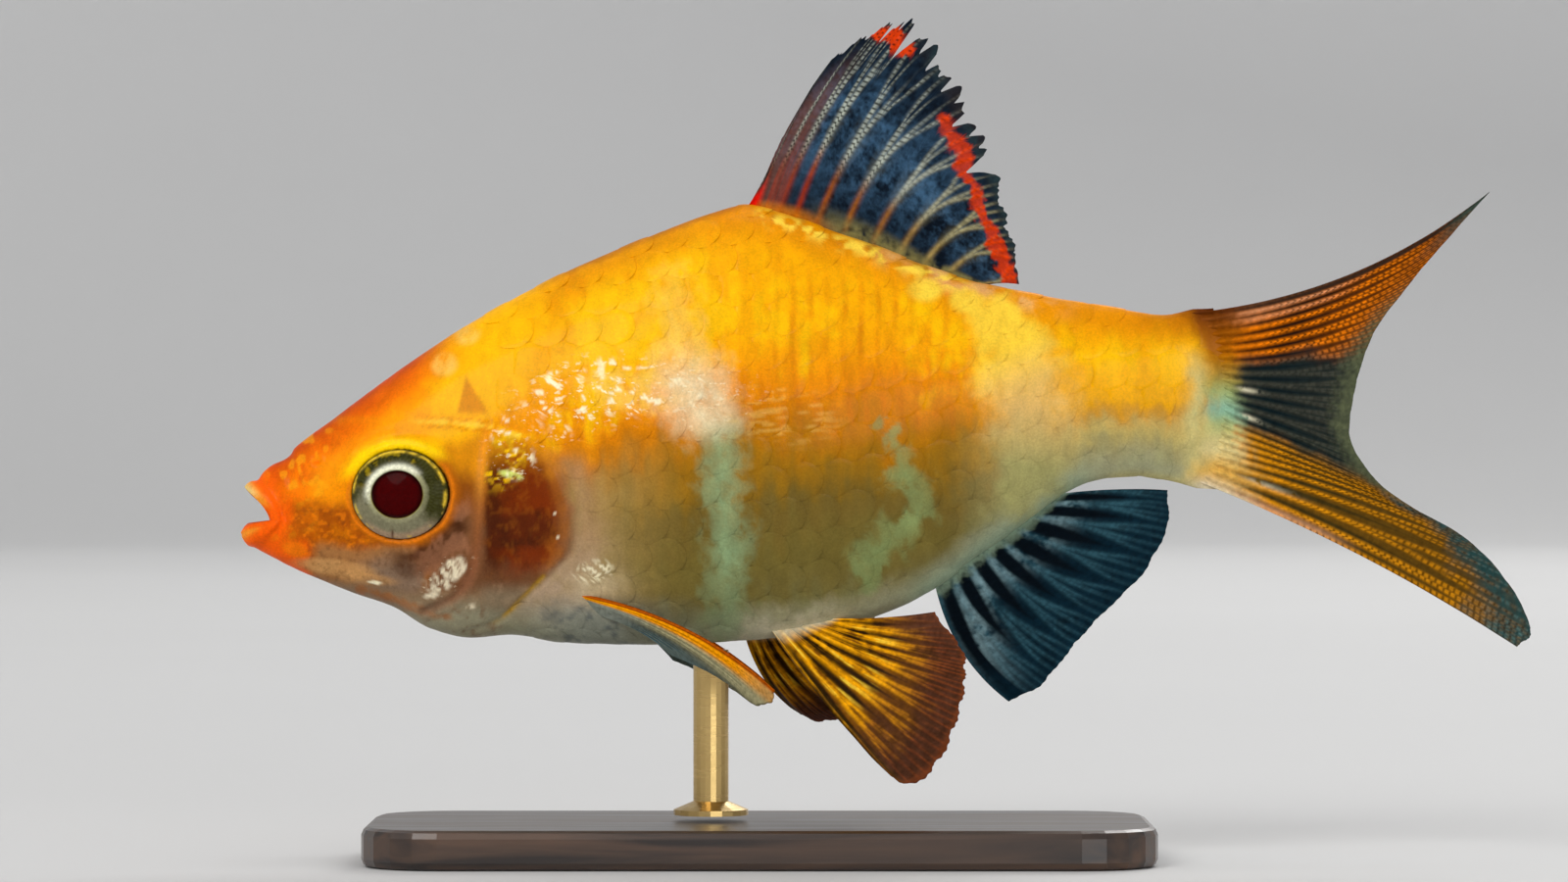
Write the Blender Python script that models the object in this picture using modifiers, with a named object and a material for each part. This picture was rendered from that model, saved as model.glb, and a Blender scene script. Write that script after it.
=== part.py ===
"""A life-size still model of an albino tiger barb, swimming to the left, on a plain display stand.

Lengths are in millimetres and become metres in place(). A point on the fish is (s, y, h): s is the
distance behind the tip of the lower lip, y the distance to the right of the middle plane, and h the
height above the level of the mouth. In the world, X runs from head to tail and Z is up.
"""

import math

import bmesh
import bpy
from mathutils import Matrix, Vector

MM = 0.001
GAP = 0.3

# The whole fish and its stand
TOTAL_LENGTH = 65.75
BASE_LENGTH, BASE_WIDTH, BASE_THICKNESS = 40.0, 18.0, 2.0
BASE_CENTRE_S = 26.5
BASE_CORNER_RADIUS, BASE_EDGE_BEVEL = 4.0, 0.4
FIN_CLEARANCE = 2.0
PELVIC_REACH = 13.85
AXIS_HEIGHT = BASE_THICKNESS + FIN_CLEARANCE + PELVIC_REACH
ROD_S, ROD_RADIUS = 24.0, 0.9
ROD_FOOT_RADIUS, ROD_FOOT_HEIGHT = 1.9, 0.7

# Body profiles: (s, h) of the back and the belly, (s, half width), and (s, h) of the widest level
BACK = (
    (0.85, 1.55), (1.15, 1.98), (1.55, 2.3), (2.3, 2.66), (2.75, 3.2), (4.75, 4.7), (7.75, 6.95),
    (11.75, 9.6), (16.75, 12.25), (21.75, 14.35), (24.2, 15.25), (25.75, 15.6), (26.9, 15.4),
    (28.3, 15.0), (30.2, 14.3), (32.0, 13.7), (34.6, 12.65), (37.8, 11.6), (39.75, 11.2),
    (43.75, 10.5), (47.5, 10.0), (49.6, 10.3),
)
BELLY = (
    (0.8, -2.05), (2.75, -3.05), (5.75, -4.3), (7.75, -5.0), (9.75, -6.15), (11.75, -6.6),
    (13.75, -6.45), (16.75, -6.85), (20.75, -6.95), (26.75, -6.65), (29.75, -6.25), (33.75, -5.0),
    (35.75, -3.85), (37.75, -2.3), (39.75, -0.95), (41.75, 0.6), (43.75, 1.45), (45.5, 1.65),
    (47.75, 1.4), (49.6, 1.0),
)
HALF_WIDTH = (
    (2.1, 1.52), (3.5, 1.95), (5.5, 2.6), (8.25, 3.4), (12.0, 4.1), (16.0, 4.5), (20.0, 4.65),
    (25.0, 4.5), (30.0, 4.0), (35.0, 3.2), (40.0, 2.35), (44.0, 1.7), (47.0, 1.2), (49.6, 0.7),
    (51.4, 0.55),
)
WIDEST_LEVEL = (
    (2.1, -0.58), (5.0, 0.2), (8.25, 0.9), (14.0, 1.5), (22.0, 2.8), (30.0, 3.6), (38.0, 4.8),
    (44.0, 5.8), (49.6, 5.7),
)
BACK_ROUNDNESS = ((2.1, 2.0), (8.0, 2.0), (18.0, 1.8), (34.0, 1.8), (44.0, 2.0), (49.6, 2.4))
BELLY_ROUNDNESS = ((2.1, 2.0), (8.0, 2.1), (20.0, 2.2), (34.0, 2.0), (44.0, 2.0), (49.6, 2.4))
BODY_END = 51.4

# Rings of the open mouth, from the throat out over the lips to the groove behind them: (s, h) of
# the upper jaw, (s, h, half width) of the mouth's corner, and (s, h) of the lower jaw
MOUTH_RINGS = (
    ((4.2, -0.2), (4.2, -0.4, 0.3), (4.2, -0.6)),
    ((2.6, 0.1), (2.9, -0.42, 0.85), (2.6, -0.9)),
    ((1.3, 0.3), (2.05, -0.5, 1.05), (1.1, -0.8)),
    ((0.5, 0.82), (1.68, -0.52, 1.14), (0.5, -0.66)),
    ((0.2, 1.25), (1.6, -0.52, 1.3), (0.0, -1.3)),
    ((0.55, 1.52), (1.85, -0.55, 1.53), (0.42, -1.92)),
    ((0.84, 1.57), (2.1, -0.58, 1.6), (0.72, -2.0)),
    ((1.0, 1.78), (2.35, -0.58, 1.5), (0.98, -2.14)),
)
LIP_CURVE = 1.5
FACE_END = 6.5
FACE_RINGS, BODY_RINGS = 9, 31
AROUND = 28

# Cuts between head, trunk and tail stalk: (h, s) of each cut, and the front edge of a gill cover
GILL_REAR = (
    (14.0, 11.6), (9.6, 12.2), (6.5, 12.7), (4.4, 13.2), (3.65, 15.1), (1.4, 16.65),
    (-0.45, 17.1), (-1.95, 16.9), (-3.3, 15.8), (-4.7, 14.3), (-6.2, 13.2), (-9.0, 12.6),
)
GILL_FRONT = (
    (4.1, 13.1), (3.0, 12.75), (0.5, 12.5), (-2.0, 12.3), (-4.0, 12.45), (-5.4, 12.95),
)
GILL_TOP, GILL_BOTTOM = 3.9, -5.2
GILL_LIFT, GILL_DEPTH = 0.2, 0.5
STALK_CUT = ((14.0, 40.4), (-3.0, 43.6))
TAIL_ARC = (
    (14.0, 49.2), (10.35, 49.6), (8.5, 50.35), (5.7, 50.75), (3.0, 50.45), (1.1, 49.9),
    (-3.0, 49.6),
)

# Head details
EYE_S, EYE_H = 8.36, 0.83
EYE_RADIUS, EYE_RIM_Y, EYE_APEX_Y, EYE_BACK_Y = 2.5, 3.1, 3.85, 2.35
EYE_TURN = math.radians(8)
DOME_STEPS, DRUM_TAPER = 6, 0.94
SOCKET_REACH, SOCKET_FLARE = 6.0, 0.4
NOSTRIL_S, NOSTRIL_H, NOSTRIL_Y, NOSTRIL_RADIUS, NOSTRIL_DEPTH = 4.1, 2.4, 1.72, 0.27, 0.45
NOSTRIL_REACH, NOSTRIL_TAPER = 1.5, 0.7

# Fins: thickness of the web and its tip, half width of a ridge as a share of the rays' spacing, and
# for each fin the steps along a ray, the ridges' height on both faces together, and the share of the
# length by which the web falls short of the tips
WEB_THICKNESS, TIP_THICKNESS = 0.5, 0.3
RIDGE_SHARE = 0.17
DORSAL_FORM = {"steps": 9, "ridge": 0.35, "notch": 0.09}
ANAL_FORM = {"steps": 8, "ridge": 0.3, "notch": 0.02}
TAIL_FORM = {"steps": 9, "ridge": 0.3, "notch": 0.015}
PECTORAL_FORM = {"steps": 7, "ridge": 0.2, "notch": 0.02}
PELVIC_FORM = {"steps": 7, "ridge": 0.25, "notch": 0.02}

COLOURS = {
    "skin_orange": ((0.95, 0.42, 0.02), 0.35, 0.0),
    "skin_head": ((0.9, 0.28, 0.03), 0.35, 0.0),
    "skin_tail": ((0.9, 0.5, 0.12), 0.35, 0.0),
    "gill_cover": ((0.42, 0.14, 0.06), 0.3, 0.2),
    "eye": ((0.35, 0.36, 0.24), 0.1, 0.4),
    "dark_fin": ((0.04, 0.08, 0.12), 0.4, 0.0),
    "gold_fin": ((0.72, 0.36, 0.03), 0.4, 0.0),
    "tail_fin": ((0.5, 0.24, 0.05), 0.4, 0.0),
    "stand_wood": ((0.06, 0.035, 0.022), 0.4, 0.0),
    "stand_metal": ((0.6, 0.45, 0.2), 0.3, 1.0),
}


def clear_scene():
    for old in list(bpy.data.objects):
        bpy.data.objects.remove(old)


def new_collection(name):
    made = bpy.data.collections.new(name)
    bpy.context.scene.collection.children.link(made)
    return made


def place(s, y, h):
    """A point of the fish as a world position in metres."""
    return Vector((s - TOTAL_LENGTH / 2, y, AXIS_HEIGHT + h)) * MM


def smooth(knots, x):
    """The value at x of a smooth curve through (x, value) knots, with no overshoot between them."""
    knots = sorted(knots)
    if x <= knots[0][0]:
        return knots[0][1]
    if x >= knots[-1][0]:
        return knots[-1][1]
    steps = [b[0] - a[0] for a, b in zip(knots, knots[1:])]
    rises = [(b[1] - a[1]) / step for a, b, step in zip(knots, knots[1:], steps)]
    slopes = [rises[0]]
    for before, after in zip(rises, rises[1:]):
        slopes.append(2 * before * after / (before + after) if before * after > 0 else 0.0)
    slopes.append(rises[-1])
    k = max(i for i, knot in enumerate(knots[:-1]) if knot[0] <= x)
    t = (x - knots[k][0]) / steps[k]
    rest = 1 - t
    return (
        knots[k][1] * rest * rest * (1 + 2 * t)
        + knots[k + 1][1] * t * t * (1 + 2 * rest)
        + steps[k] * (slopes[k] * t * rest * rest - slopes[k + 1] * rest * t * t)
    )


def section_at(s):
    """The body's section at s: back, belly, half width, widest level, and the two roundnesses."""
    return (
        smooth(BACK, s), smooth(BELLY, s), smooth(HALF_WIDTH, s), smooth(WIDEST_LEVEL, s),
        smooth(BACK_ROUNDNESS, s), smooth(BELLY_ROUNDNESS, s),
    )


def side_y(s, h):
    """How far the body's side is from the middle plane at (s, h), behind the face."""
    back, belly, width, level, upper, lower = section_at(s)
    reach, power = (back - level, upper) if h >= level else (level - belly, lower)
    share = min(abs(h - level) / reach, 1.0)
    return width * (1 - share**power) ** (1 / power)


def under_h(s, y):
    """The height of the body's underside at (s, y), behind the face."""
    _, belly, width, level, _, power = section_at(s)
    return level - (level - belly) * (1 - min(abs(y) / width, 1.0) ** power) ** (1 / power)


def ring(upper, side, lower, upper_power, lower_power, curve=1.0):
    """One closed section: it leans from its widest points to the given upper and lower points."""
    points = []
    for k in range(AROUND):
        angle = 2 * math.pi * k / AROUND
        rising = k <= AROUND // 2
        power, end = (upper_power, upper) if rising else (lower_power, lower)
        out = abs(math.cos(angle)) ** (2 / power)
        up = abs(math.sin(angle)) ** (2 / power)
        points.append(
            place(
                side[0] + (end[0] - side[0]) * up ** (curve if rising else 1.0),
                -math.copysign(side[2] * out, math.cos(angle)),
                side[1] + (end[1] - side[1]) * up,
            )
        )
    return points


def body_rings():
    rings = [ring(upper, side, lower, 2.0, 2.0, LIP_CURVE) for upper, side, lower in MOUTH_RINGS]
    upper, side, lower = MOUTH_RINGS[-1]
    for k in range(1, FACE_RINGS + BODY_RINGS + 1):
        face = min(k / FACE_RINGS, 1.0)
        body = max(k - FACE_RINGS, 0) / BODY_RINGS
        stations = [
            start + (FACE_END - start) * face + (BODY_END - FACE_END) * body
            for start in (upper[0], side[0], lower[0])
        ]
        _, _, width, level, upper_power, lower_power = section_at(stations[1])
        rings.append(
            ring(
                (stations[0], smooth(BACK, stations[0])),
                (stations[1], level, width),
                (stations[2], smooth(BELLY, stations[2])),
                upper_power,
                lower_power,
                LIP_CURVE + (1 - LIP_CURVE) * face,
            )
        )
    return rings


def mesh_object(name, mesh, collection):
    made = bpy.data.objects.new(name, mesh)
    collection.objects.link(made)
    return made


def loft(name, rings, collection):
    """A closed skin through rings of equal count, capped at both ends."""
    form = bmesh.new()
    rows = [[form.verts.new(point) for point in points] for points in rings]
    for row, following in zip(rows, rows[1:]):
        for k in range(len(row)):
            j = (k + 1) % len(row)
            form.faces.new((row[k], row[j], following[j], following[k]))
    form.faces.new(reversed(rows[0]))
    form.faces.new(rows[-1])
    bmesh.ops.recalc_face_normals(form, faces=form.faces)
    mesh = bpy.data.meshes.new(name)
    form.to_mesh(mesh)
    form.free()
    return mesh_object(name, mesh, collection)


def as_helper(helper):
    helper.hide_render = True
    helper.display_type = "WIRE"
    return helper


def side_prism(name, outline, collection):
    """A cutter: an outline of (s, h) points extruded far to both sides of the body."""
    curve = bpy.data.curves.new(name, "CURVE")
    curve.dimensions = "2D"
    curve.fill_mode = "BOTH"
    curve.extrude = 12 * MM
    spline = curve.splines.new("POLY")
    spline.points.add(len(outline) - 1)
    for point, (s, h) in zip(spline.points, outline):
        point.co = (s * MM, h * MM, 0, 1)
    spline.use_cyclic_u = True
    drawn = bpy.data.objects.new(name + "_outline", curve)
    collection.objects.link(drawn)
    bpy.context.view_layer.update()
    evaluated = drawn.evaluated_get(bpy.context.evaluated_depsgraph_get())
    mesh = bpy.data.meshes.new_from_object(evaluated)
    bpy.data.objects.remove(drawn)
    form = bmesh.new()
    form.from_mesh(mesh)
    bmesh.ops.remove_doubles(form, verts=form.verts, dist=0.001 * MM)
    bmesh.ops.recalc_face_normals(form, faces=form.faces)
    form.to_mesh(mesh)
    form.free()
    mesh.transform(Matrix.Translation(place(0, 0, 0)) @ Matrix.Rotation(math.pi / 2, 4, "X"))
    return as_helper(mesh_object(name, mesh, collection))


def cut_line(knots, shift):
    """Points down a cut given as (h, s) knots, moved along the body by shift."""
    top, bottom = max(knots)[0], min(knots)[0]
    count = 40
    heights = [top + (bottom - top) * k / count for k in range(count + 1)]
    return [(smooth(knots, h) + shift, h) for h in heights]


def boolean(target, operation, other):
    modifier = target.modifiers.new(other.name, "BOOLEAN")
    modifier.operation = operation
    modifier.solver = "EXACT"
    modifier.object = other


def gill_patch(name, side, grow, inner, outer, collection):
    """A plate over the gills, from inner to outer across the skin, grown by grow at its edges."""
    rows, columns = 12, 6
    form = bmesh.new()
    grid = []
    for j in range(rows + 1):
        t = j / rows
        h = GILL_TOP + grow + (GILL_BOTTOM - GILL_TOP - 2 * grow) * t
        level = min(max(h, GILL_BOTTOM), GILL_TOP)
        front = smooth(GILL_FRONT, level) - grow
        rear = smooth(GILL_REAR, level) - GAP / 2 + 3 * grow
        line = []
        for i in range(columns + 1):
            s = front + (rear - front) * i / columns
            line.append(form.verts.new(place(s, side * side_y(s, h), h)))
        grid.append(line)
    for j in range(rows):
        for i in range(columns):
            corners = (grid[j][i], grid[j][i + 1], grid[j + 1][i + 1], grid[j + 1][i])
            form.faces.new(corners if side > 0 else corners[::-1])
    mesh = bpy.data.meshes.new(name)
    form.to_mesh(mesh)
    form.free()
    patch = mesh_object(name, mesh, collection)
    shell = patch.modifiers.new("plate", "SOLIDIFY")
    shell.thickness = (outer - inner) * MM
    shell.offset = (outer + inner) / (outer - inner)
    return patch


def turned(name, profile, steps, matrix, collection):
    """A profile of (radius, height) points, top to bottom down its outer side, turned about Z."""
    mesh = bpy.data.meshes.new(name)
    points = [(radius * MM, 0, height * MM) for radius, height in profile]
    mesh.from_pydata(points, [(k, k + 1) for k in range(len(points) - 1)], [])
    made = mesh_object(name, mesh, collection)
    made.matrix_world = matrix
    screw = made.modifiers.new("turn", "SCREW")
    screw.steps = screw.render_steps = steps
    screw.use_merge_vertices = True
    screw.merge_threshold = 0.00001
    screw.use_smooth_shade = True
    return made


def eye_matrix(side):
    """Local Z points out of the eye, sideways and a little forward."""
    lean = Matrix.Rotation(side * EYE_TURN, 4, "Z")
    outward = Matrix.Rotation(-side * math.pi / 2, 4, "X")
    return Matrix.Translation(place(EYE_S, 0, EYE_H)) @ lean @ outward


def make_eye(name, side, collection):
    """A shallow dome for the cornea on a short drum, set in the socket."""
    dome = EYE_APEX_Y - EYE_RIM_Y
    radius = EYE_RADIUS - GAP / 2
    curvature = (radius * radius + dome * dome) / (2 * dome)
    profile = [(0, EYE_APEX_Y)]
    for k in range(1, DOME_STEPS + 1):
        r = radius * k / DOME_STEPS
        profile.append((r, EYE_APEX_Y - curvature + math.sqrt(curvature**2 - r**2)))
    profile += [(radius * DRUM_TAPER, EYE_BACK_Y + GAP), (0, EYE_BACK_Y + GAP)]
    return turned(name, profile, 24, eye_matrix(side), collection)


def eye_socket(name, side, collection):
    radius = EYE_RADIUS + GAP / 2
    profile = [(0, SOCKET_REACH), (radius + SOCKET_FLARE, SOCKET_REACH), (radius, EYE_RIM_Y)]
    profile += [(radius, EYE_BACK_Y), (0, EYE_BACK_Y)]
    return as_helper(turned(name, profile, 28, eye_matrix(side), collection))


def nostril_pit(name, side, collection):
    profile = [(0, NOSTRIL_REACH), (NOSTRIL_RADIUS, NOSTRIL_REACH)]
    profile += [(NOSTRIL_RADIUS * NOSTRIL_TAPER, -NOSTRIL_DEPTH), (0, -NOSTRIL_DEPTH)]
    outward = Matrix.Rotation(-side * math.pi / 2, 4, "X")
    seat = Matrix.Translation(place(NOSTRIL_S, side * NOSTRIL_Y, NOSTRIL_H))
    return as_helper(turned(name, profile, 8, seat @ outward, collection))


def make_body(parts, cutters):
    """Head, gill covers, trunk and tail stalk, parted from one loft by thin cuts."""
    whole = as_helper(loft("whole_body", body_rings(), cutters))
    far_front, above, below = -3.0, 20.0, -12.0
    gill_line = [(smooth(GILL_REAR, above), above), *cut_line(GILL_REAR, 0)]
    gill_line.append((smooth(GILL_REAR, below), below))
    stalk_line = [(STALK_CUT[0][1], above), (STALK_CUT[1][1], below)]
    shift = GAP / 2
    before_gills = [(s - shift, h) for s, h in gill_line]
    behind_gills = [(s + shift, h) for s, h in gill_line]
    before_stalk = [(s - shift, h) for s, h in stalk_line]
    behind_stalk = [(s + shift, h) for s, h in stalk_line]
    regions = {
        "head": [(far_front, above), *before_gills, (far_front, below)],
        "trunk": [*behind_gills, *reversed(before_stalk)],
        "tail_stalk": [*behind_stalk, *reversed(cut_line(TAIL_ARC, -shift))],
    }
    made = {}
    for name, outline in regions.items():
        made[name] = mesh_object(name, whole.data.copy(), parts)
        boolean(made[name], "INTERSECT", side_prism("region_" + name, outline, cutters))
    for side, word in ((-1, "left"), (1, "right")):
        made["gill_cover_" + word] = gill_patch(
            "gill_cover_" + word, side, 0.0, -GILL_DEPTH, GILL_LIFT, parts
        )
        recess = gill_patch(
            "gill_recess_" + word, side, GAP, -GILL_DEPTH - GAP, 3.0, cutters
        )
        boolean(made["head"], "DIFFERENCE", as_helper(recess))
        boolean(made["head"], "DIFFERENCE", eye_socket("socket_" + word, side, cutters))
        boolean(made["head"], "DIFFERENCE", nostril_pit("nostril_" + word, side, cutters))
        made["eye_" + word] = make_eye("eye_" + word, side, parts)
    return made


def ray_columns(rays, first=0.0, last=1.0):
    """Positions across a fin, (u, height of the ridge): a crest at each ray, and its two feet."""
    pitch = (last - first) / (rays - 1)
    columns = []
    for k in range(rays):
        crest = first + k * pitch
        if k > 0:
            columns.append((crest - RIDGE_SHARE * pitch, 0.0))
        columns.append((crest, 1.0))
        if k < rays - 1:
            columns.append((crest + RIDGE_SHARE * pitch, 0.0))
    return columns


def fin(name, surface, columns, form, collection):
    """A closed fin from surface(u, v), with v from root to tip and rays raised on both faces."""
    steps, ridge, notch = form["steps"], form["ridge"], form["notch"]
    sheet = bmesh.new()
    weights = []
    grid = []
    thickest = WEB_THICKNESS + ridge
    for u, crest in columns:
        line = []
        for k in range(steps + 1):
            v = k / steps * (1 if crest else 1 - notch)
            line.append(sheet.verts.new(place(*surface(u, v))))
            web = WEB_THICKNESS + (TIP_THICKNESS - WEB_THICKNESS) * max(v - 0.8, 0) / 0.2
            weights.append((web + crest * ridge * (1 - 0.6 * v)) / thickest)
        grid.append(line)
    for line, following in zip(grid, grid[1:]):
        for k in range(steps):
            sheet.faces.new((line[k], following[k], following[k + 1]))
            sheet.faces.new((line[k], following[k + 1], line[k + 1]))
    mesh = bpy.data.meshes.new(name)
    sheet.to_mesh(mesh)
    sheet.free()
    made = mesh_object(name, mesh, collection)
    group = made.vertex_groups.new(name="thickness")
    for k, weight in enumerate(weights):
        group.add([k], weight, "REPLACE")
    shell = made.modifiers.new("sheet", "SOLIDIFY")
    shell.thickness = thickest * MM
    shell.offset = 0
    shell.vertex_group = "thickness"
    return made


def along(knots, u):
    """A point at u on a smooth line through (u, coordinate, coordinate...) knots."""
    size = len(knots[0])
    return [smooth([(knot[0], knot[k]) for knot in knots], u) for k in range(1, size)]


def ray_point(root, tip, bow, v):
    """A point at v on a ray that bows in its (s, h) plane by a share of its length."""
    control = [(a + b) / 2 for a, b in zip(root, tip)]
    control[0] -= 2 * bow * (tip[2] - root[2])
    control[2] += 2 * bow * (tip[0] - root[0])
    return [
        a * (1 - v) ** 2 + 2 * c * v * (1 - v) + b * v * v
        for a, c, b in zip(root, control, tip)
    ]


DORSAL_RAYS, DORSAL_ROOT = 11, (25.9, 37.6)
DORSAL_MARGIN = (
    (0.0, 27.6, 18.9), (0.045, 30.3, 23.1), (0.1, 32.3, 24.45), (0.2, 34.3, 25.1), (0.31, 35.8, 23.3),
    (0.44, 37.0, 20.8), (0.57, 38.3, 18.2), (0.7, 39.0, 15.8), (0.82, 39.4, 13.9),
    (0.92, 39.65, 12.7), (1.0, 39.6, 11.95),
)
DORSAL_BOW = ((0.0, -0.03), (0.045, 0.045), (0.25, 0.06), (0.65, 0.13), (0.85, 0.12), (1.0, 0.04))
DORSAL_RIPPLE = 0.35


def dorsal_surface(u, v):
    s = DORSAL_ROOT[0] + (DORSAL_ROOT[1] - DORSAL_ROOT[0]) * u
    root = (s, 0.0, smooth(BACK, s) + GAP)
    tip_s, tip_h = along(DORSAL_MARGIN, u)
    ripple = DORSAL_RIPPLE * math.sin(2.5 * math.pi * u)
    return ray_point(root, (tip_s, ripple, tip_h), smooth(DORSAL_BOW, u), v)


ANAL_RAYS, ANAL_ROOT = 8, (35.45, 42.0)
ANAL_MARGIN = (
    (0.0, 39.2, -9.8), (0.12, 40.75, -9.05), (0.25, 41.9, -7.65), (0.45, 43.9, -5.4),
    (0.66, 46.3, -2.85), (0.85, 47.4, -0.4), (1.0, 47.3, 1.0),
)
ANAL_BOW = ((0.0, -0.09), (0.5, -0.05), (0.8, 0.02), (1.0, 0.02))
ANAL_SWING = -0.5


def anal_surface(u, v):
    s = ANAL_ROOT[0] + (ANAL_ROOT[1] - ANAL_ROOT[0]) * u
    root = (s, 0.0, smooth(BELLY, s) - GAP)
    tip_s, tip_h = along(ANAL_MARGIN, u)
    swing = ANAL_SWING * math.sin(math.pi * u)
    return ray_point(root, (tip_s, swing, tip_h), smooth(ANAL_BOW, u), v)


TAIL_RAYS_UPPER, TAIL_RAYS_LOWER, TAIL_SPLIT = 10, 9, 0.5
TAIL_ROOT_TOP, TAIL_ROOT_BOTTOM = 10.2, 1.15
TAIL_MARGIN = (
    (0.0, 63.85, 16.25), (0.09, 61.75, 13.95), (0.18, 59.75, 11.6), (0.29, 57.8, 8.9),
    (0.38, 56.95, 6.5), (0.5, 56.55, 3.95), (0.6, 57.8, 1.6), (0.7, 59.75, 0.1),
    (0.8, 61.9, -1.1), (0.86, 63.4, -2.35), (0.905, 64.9, -4.3), (0.9375, 65.75, -6.2),
    (1.0, 64.95, -6.95),
)
TAIL_BOW = ((0.0, -0.07), (0.25, -0.045), (0.5, 0.0), (0.75, 0.02), (1.0, 0.025))
TAIL_CURL_UPPER, TAIL_CURL_LOWER = 1.2, -1.5


def tail_surface(u, v):
    root_h = TAIL_ROOT_TOP + (TAIL_ROOT_BOTTOM - TAIL_ROOT_TOP) * u
    root_s = smooth(TAIL_ARC, root_h) + GAP / 2
    tip_s, tip_h = along(TAIL_MARGIN, u)
    s, _, h = ray_point((root_s, 0, root_h), (tip_s, 0, tip_h), smooth(TAIL_BOW, u), v)
    curl = TAIL_CURL_UPPER + (TAIL_CURL_LOWER - TAIL_CURL_UPPER) * u
    return s, curl * v * v, h


def tail_lobe(lift):
    """The tail's surface moved up by lift, to part its two lobes."""

    def surface(u, v):
        s, y, h = tail_surface(u, v)
        return s, y, h + lift

    return surface


PECTORAL_RAYS = 10
PECTORAL_ROOT = ((0.0, 17.6, -4.3), (1.0, 18.5, -5.3))
PECTORAL_MARGIN = (
    (0.0, 27.25, 6.4, -8.95), (0.12, 27.15, 6.0, -9.5), (0.3, 26.4, 5.4, -9.75),
    (0.5, 25.3, 4.8, -9.0), (0.75, 23.7, 4.0, -8.05), (1.0, 22.0, 3.4, -7.3),
)
PECTORAL_BOW = 0.07
PECTORAL_DROP = {-1: 0.0, 1: 0.5}


def pectoral_surface(side):
    def surface(u, v):
        s, h = along(PECTORAL_ROOT, u)
        out = side_y(s, h) + GAP
        tip_s, tip_y, tip_h = along(PECTORAL_MARGIN, u)
        tip = (tip_s, side * tip_y, tip_h - PECTORAL_DROP[side])
        return ray_point((s, side * out, h), tip, PECTORAL_BOW, v)

    return surface


PELVIC_RAYS = 9
PELVIC_ROOT_Y = 1.3
PELVIC_ROOTS = {-1: (27.1, 30.2), 1: (25.7, 28.8)}
PELVIC_MARGINS = {
    -1: (
        (0.0, 33.1, 4.2, -13.3), (0.06, 33.9, 4.2, -PELVIC_REACH), (0.16, 35.2, 4.0, -13.1),
        (0.32, 36.3, 3.7, -11.2), (0.55, 36.95, 3.1, -8.8), (0.75, 36.95, 2.6, -7.5),
        (1.0, 35.4, 2.1, -5.15),
    ),
    1: (
        (0.0, 28.6, 6.9, -10.7), (0.12, 29.5, 6.9, -11.1), (0.25, 30.4, 6.6, -11.0),
        (0.45, 32.4, 5.9, -10.4), (0.7, 34.0, 4.8, -9.1), (0.88, 34.9, 3.6, -7.9),
        (1.0, 35.0, 2.6, -6.9),
    ),
}
PELVIC_BOWS = {-1: -0.02, 1: -0.08}


def pelvic_surface(side):
    def surface(u, v):
        start, end = PELVIC_ROOTS[side]
        s = start + (end - start) * u
        root = (s, side * PELVIC_ROOT_Y, under_h(s, PELVIC_ROOT_Y) - GAP)
        tip_s, tip_y, tip_h = along(PELVIC_MARGINS[side], u)
        return ray_point(root, (tip_s, side * tip_y, tip_h), PELVIC_BOWS[side], v)

    return surface


def make_fins(parts):
    pectoral_columns, pelvic_columns = ray_columns(PECTORAL_RAYS), ray_columns(PELVIC_RAYS)
    upper_columns = ray_columns(TAIL_RAYS_UPPER, 0.0, TAIL_SPLIT)
    lower_columns = ray_columns(TAIL_RAYS_LOWER, TAIL_SPLIT, 1.0)
    plan = {
        "dorsal_fin": (dorsal_surface, ray_columns(DORSAL_RAYS), DORSAL_FORM),
        "anal_fin": (anal_surface, ray_columns(ANAL_RAYS), ANAL_FORM),
        "tail_fin_upper": (tail_lobe(GAP / 2), upper_columns, TAIL_FORM),
        "tail_fin_lower": (tail_lobe(-GAP / 2), lower_columns, TAIL_FORM),
    }
    for side, word in ((-1, "left"), (1, "right")):
        plan["pectoral_fin_" + word] = pectoral_surface(side), pectoral_columns, PECTORAL_FORM
        plan["pelvic_fin_" + word] = pelvic_surface(side), pelvic_columns, PELVIC_FORM
    return {name: fin(name, *parts_of_it, parts) for name, parts_of_it in plan.items()}


def make_stand(parts):
    form = bmesh.new()
    size = Matrix.Diagonal((BASE_LENGTH, BASE_WIDTH, BASE_THICKNESS, 1)) * MM
    bmesh.ops.create_cube(form, size=1.0, matrix=size)
    upright = [e for e in form.edges if abs(e.verts[0].co.z - e.verts[1].co.z) > MM]
    bmesh.ops.bevel(
        form, geom=upright, offset=BASE_CORNER_RADIUS * MM, segments=5, profile=0.5, affect="EDGES"
    )
    mesh = bpy.data.meshes.new("stand_base")
    form.to_mesh(mesh)
    form.free()
    base = mesh_object("stand_base", mesh, parts)
    base.location = ((BASE_CENTRE_S - TOTAL_LENGTH / 2) * MM, 0, BASE_THICKNESS / 2 * MM)
    edge = base.modifiers.new("edge", "BEVEL")
    edge.width = BASE_EDGE_BEVEL * MM
    edge.segments = 2
    edge.limit_method = "ANGLE"
    top = AXIS_HEIGHT + under_h(ROD_S, 0) - GAP
    foot = BASE_THICKNESS + GAP
    profile = [
        (0, top), (ROD_RADIUS, top), (ROD_RADIUS, foot + ROD_FOOT_HEIGHT),
        (ROD_FOOT_RADIUS, foot + 0.4 * ROD_FOOT_HEIGHT), (ROD_FOOT_RADIUS, foot), (0, foot),
    ]
    seat = Matrix.Translation(((ROD_S - TOTAL_LENGTH / 2) * MM, 0, 0))
    return {"stand_base": base, "stand_rod": turned("stand_rod", profile, 20, seat, parts)}


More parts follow.
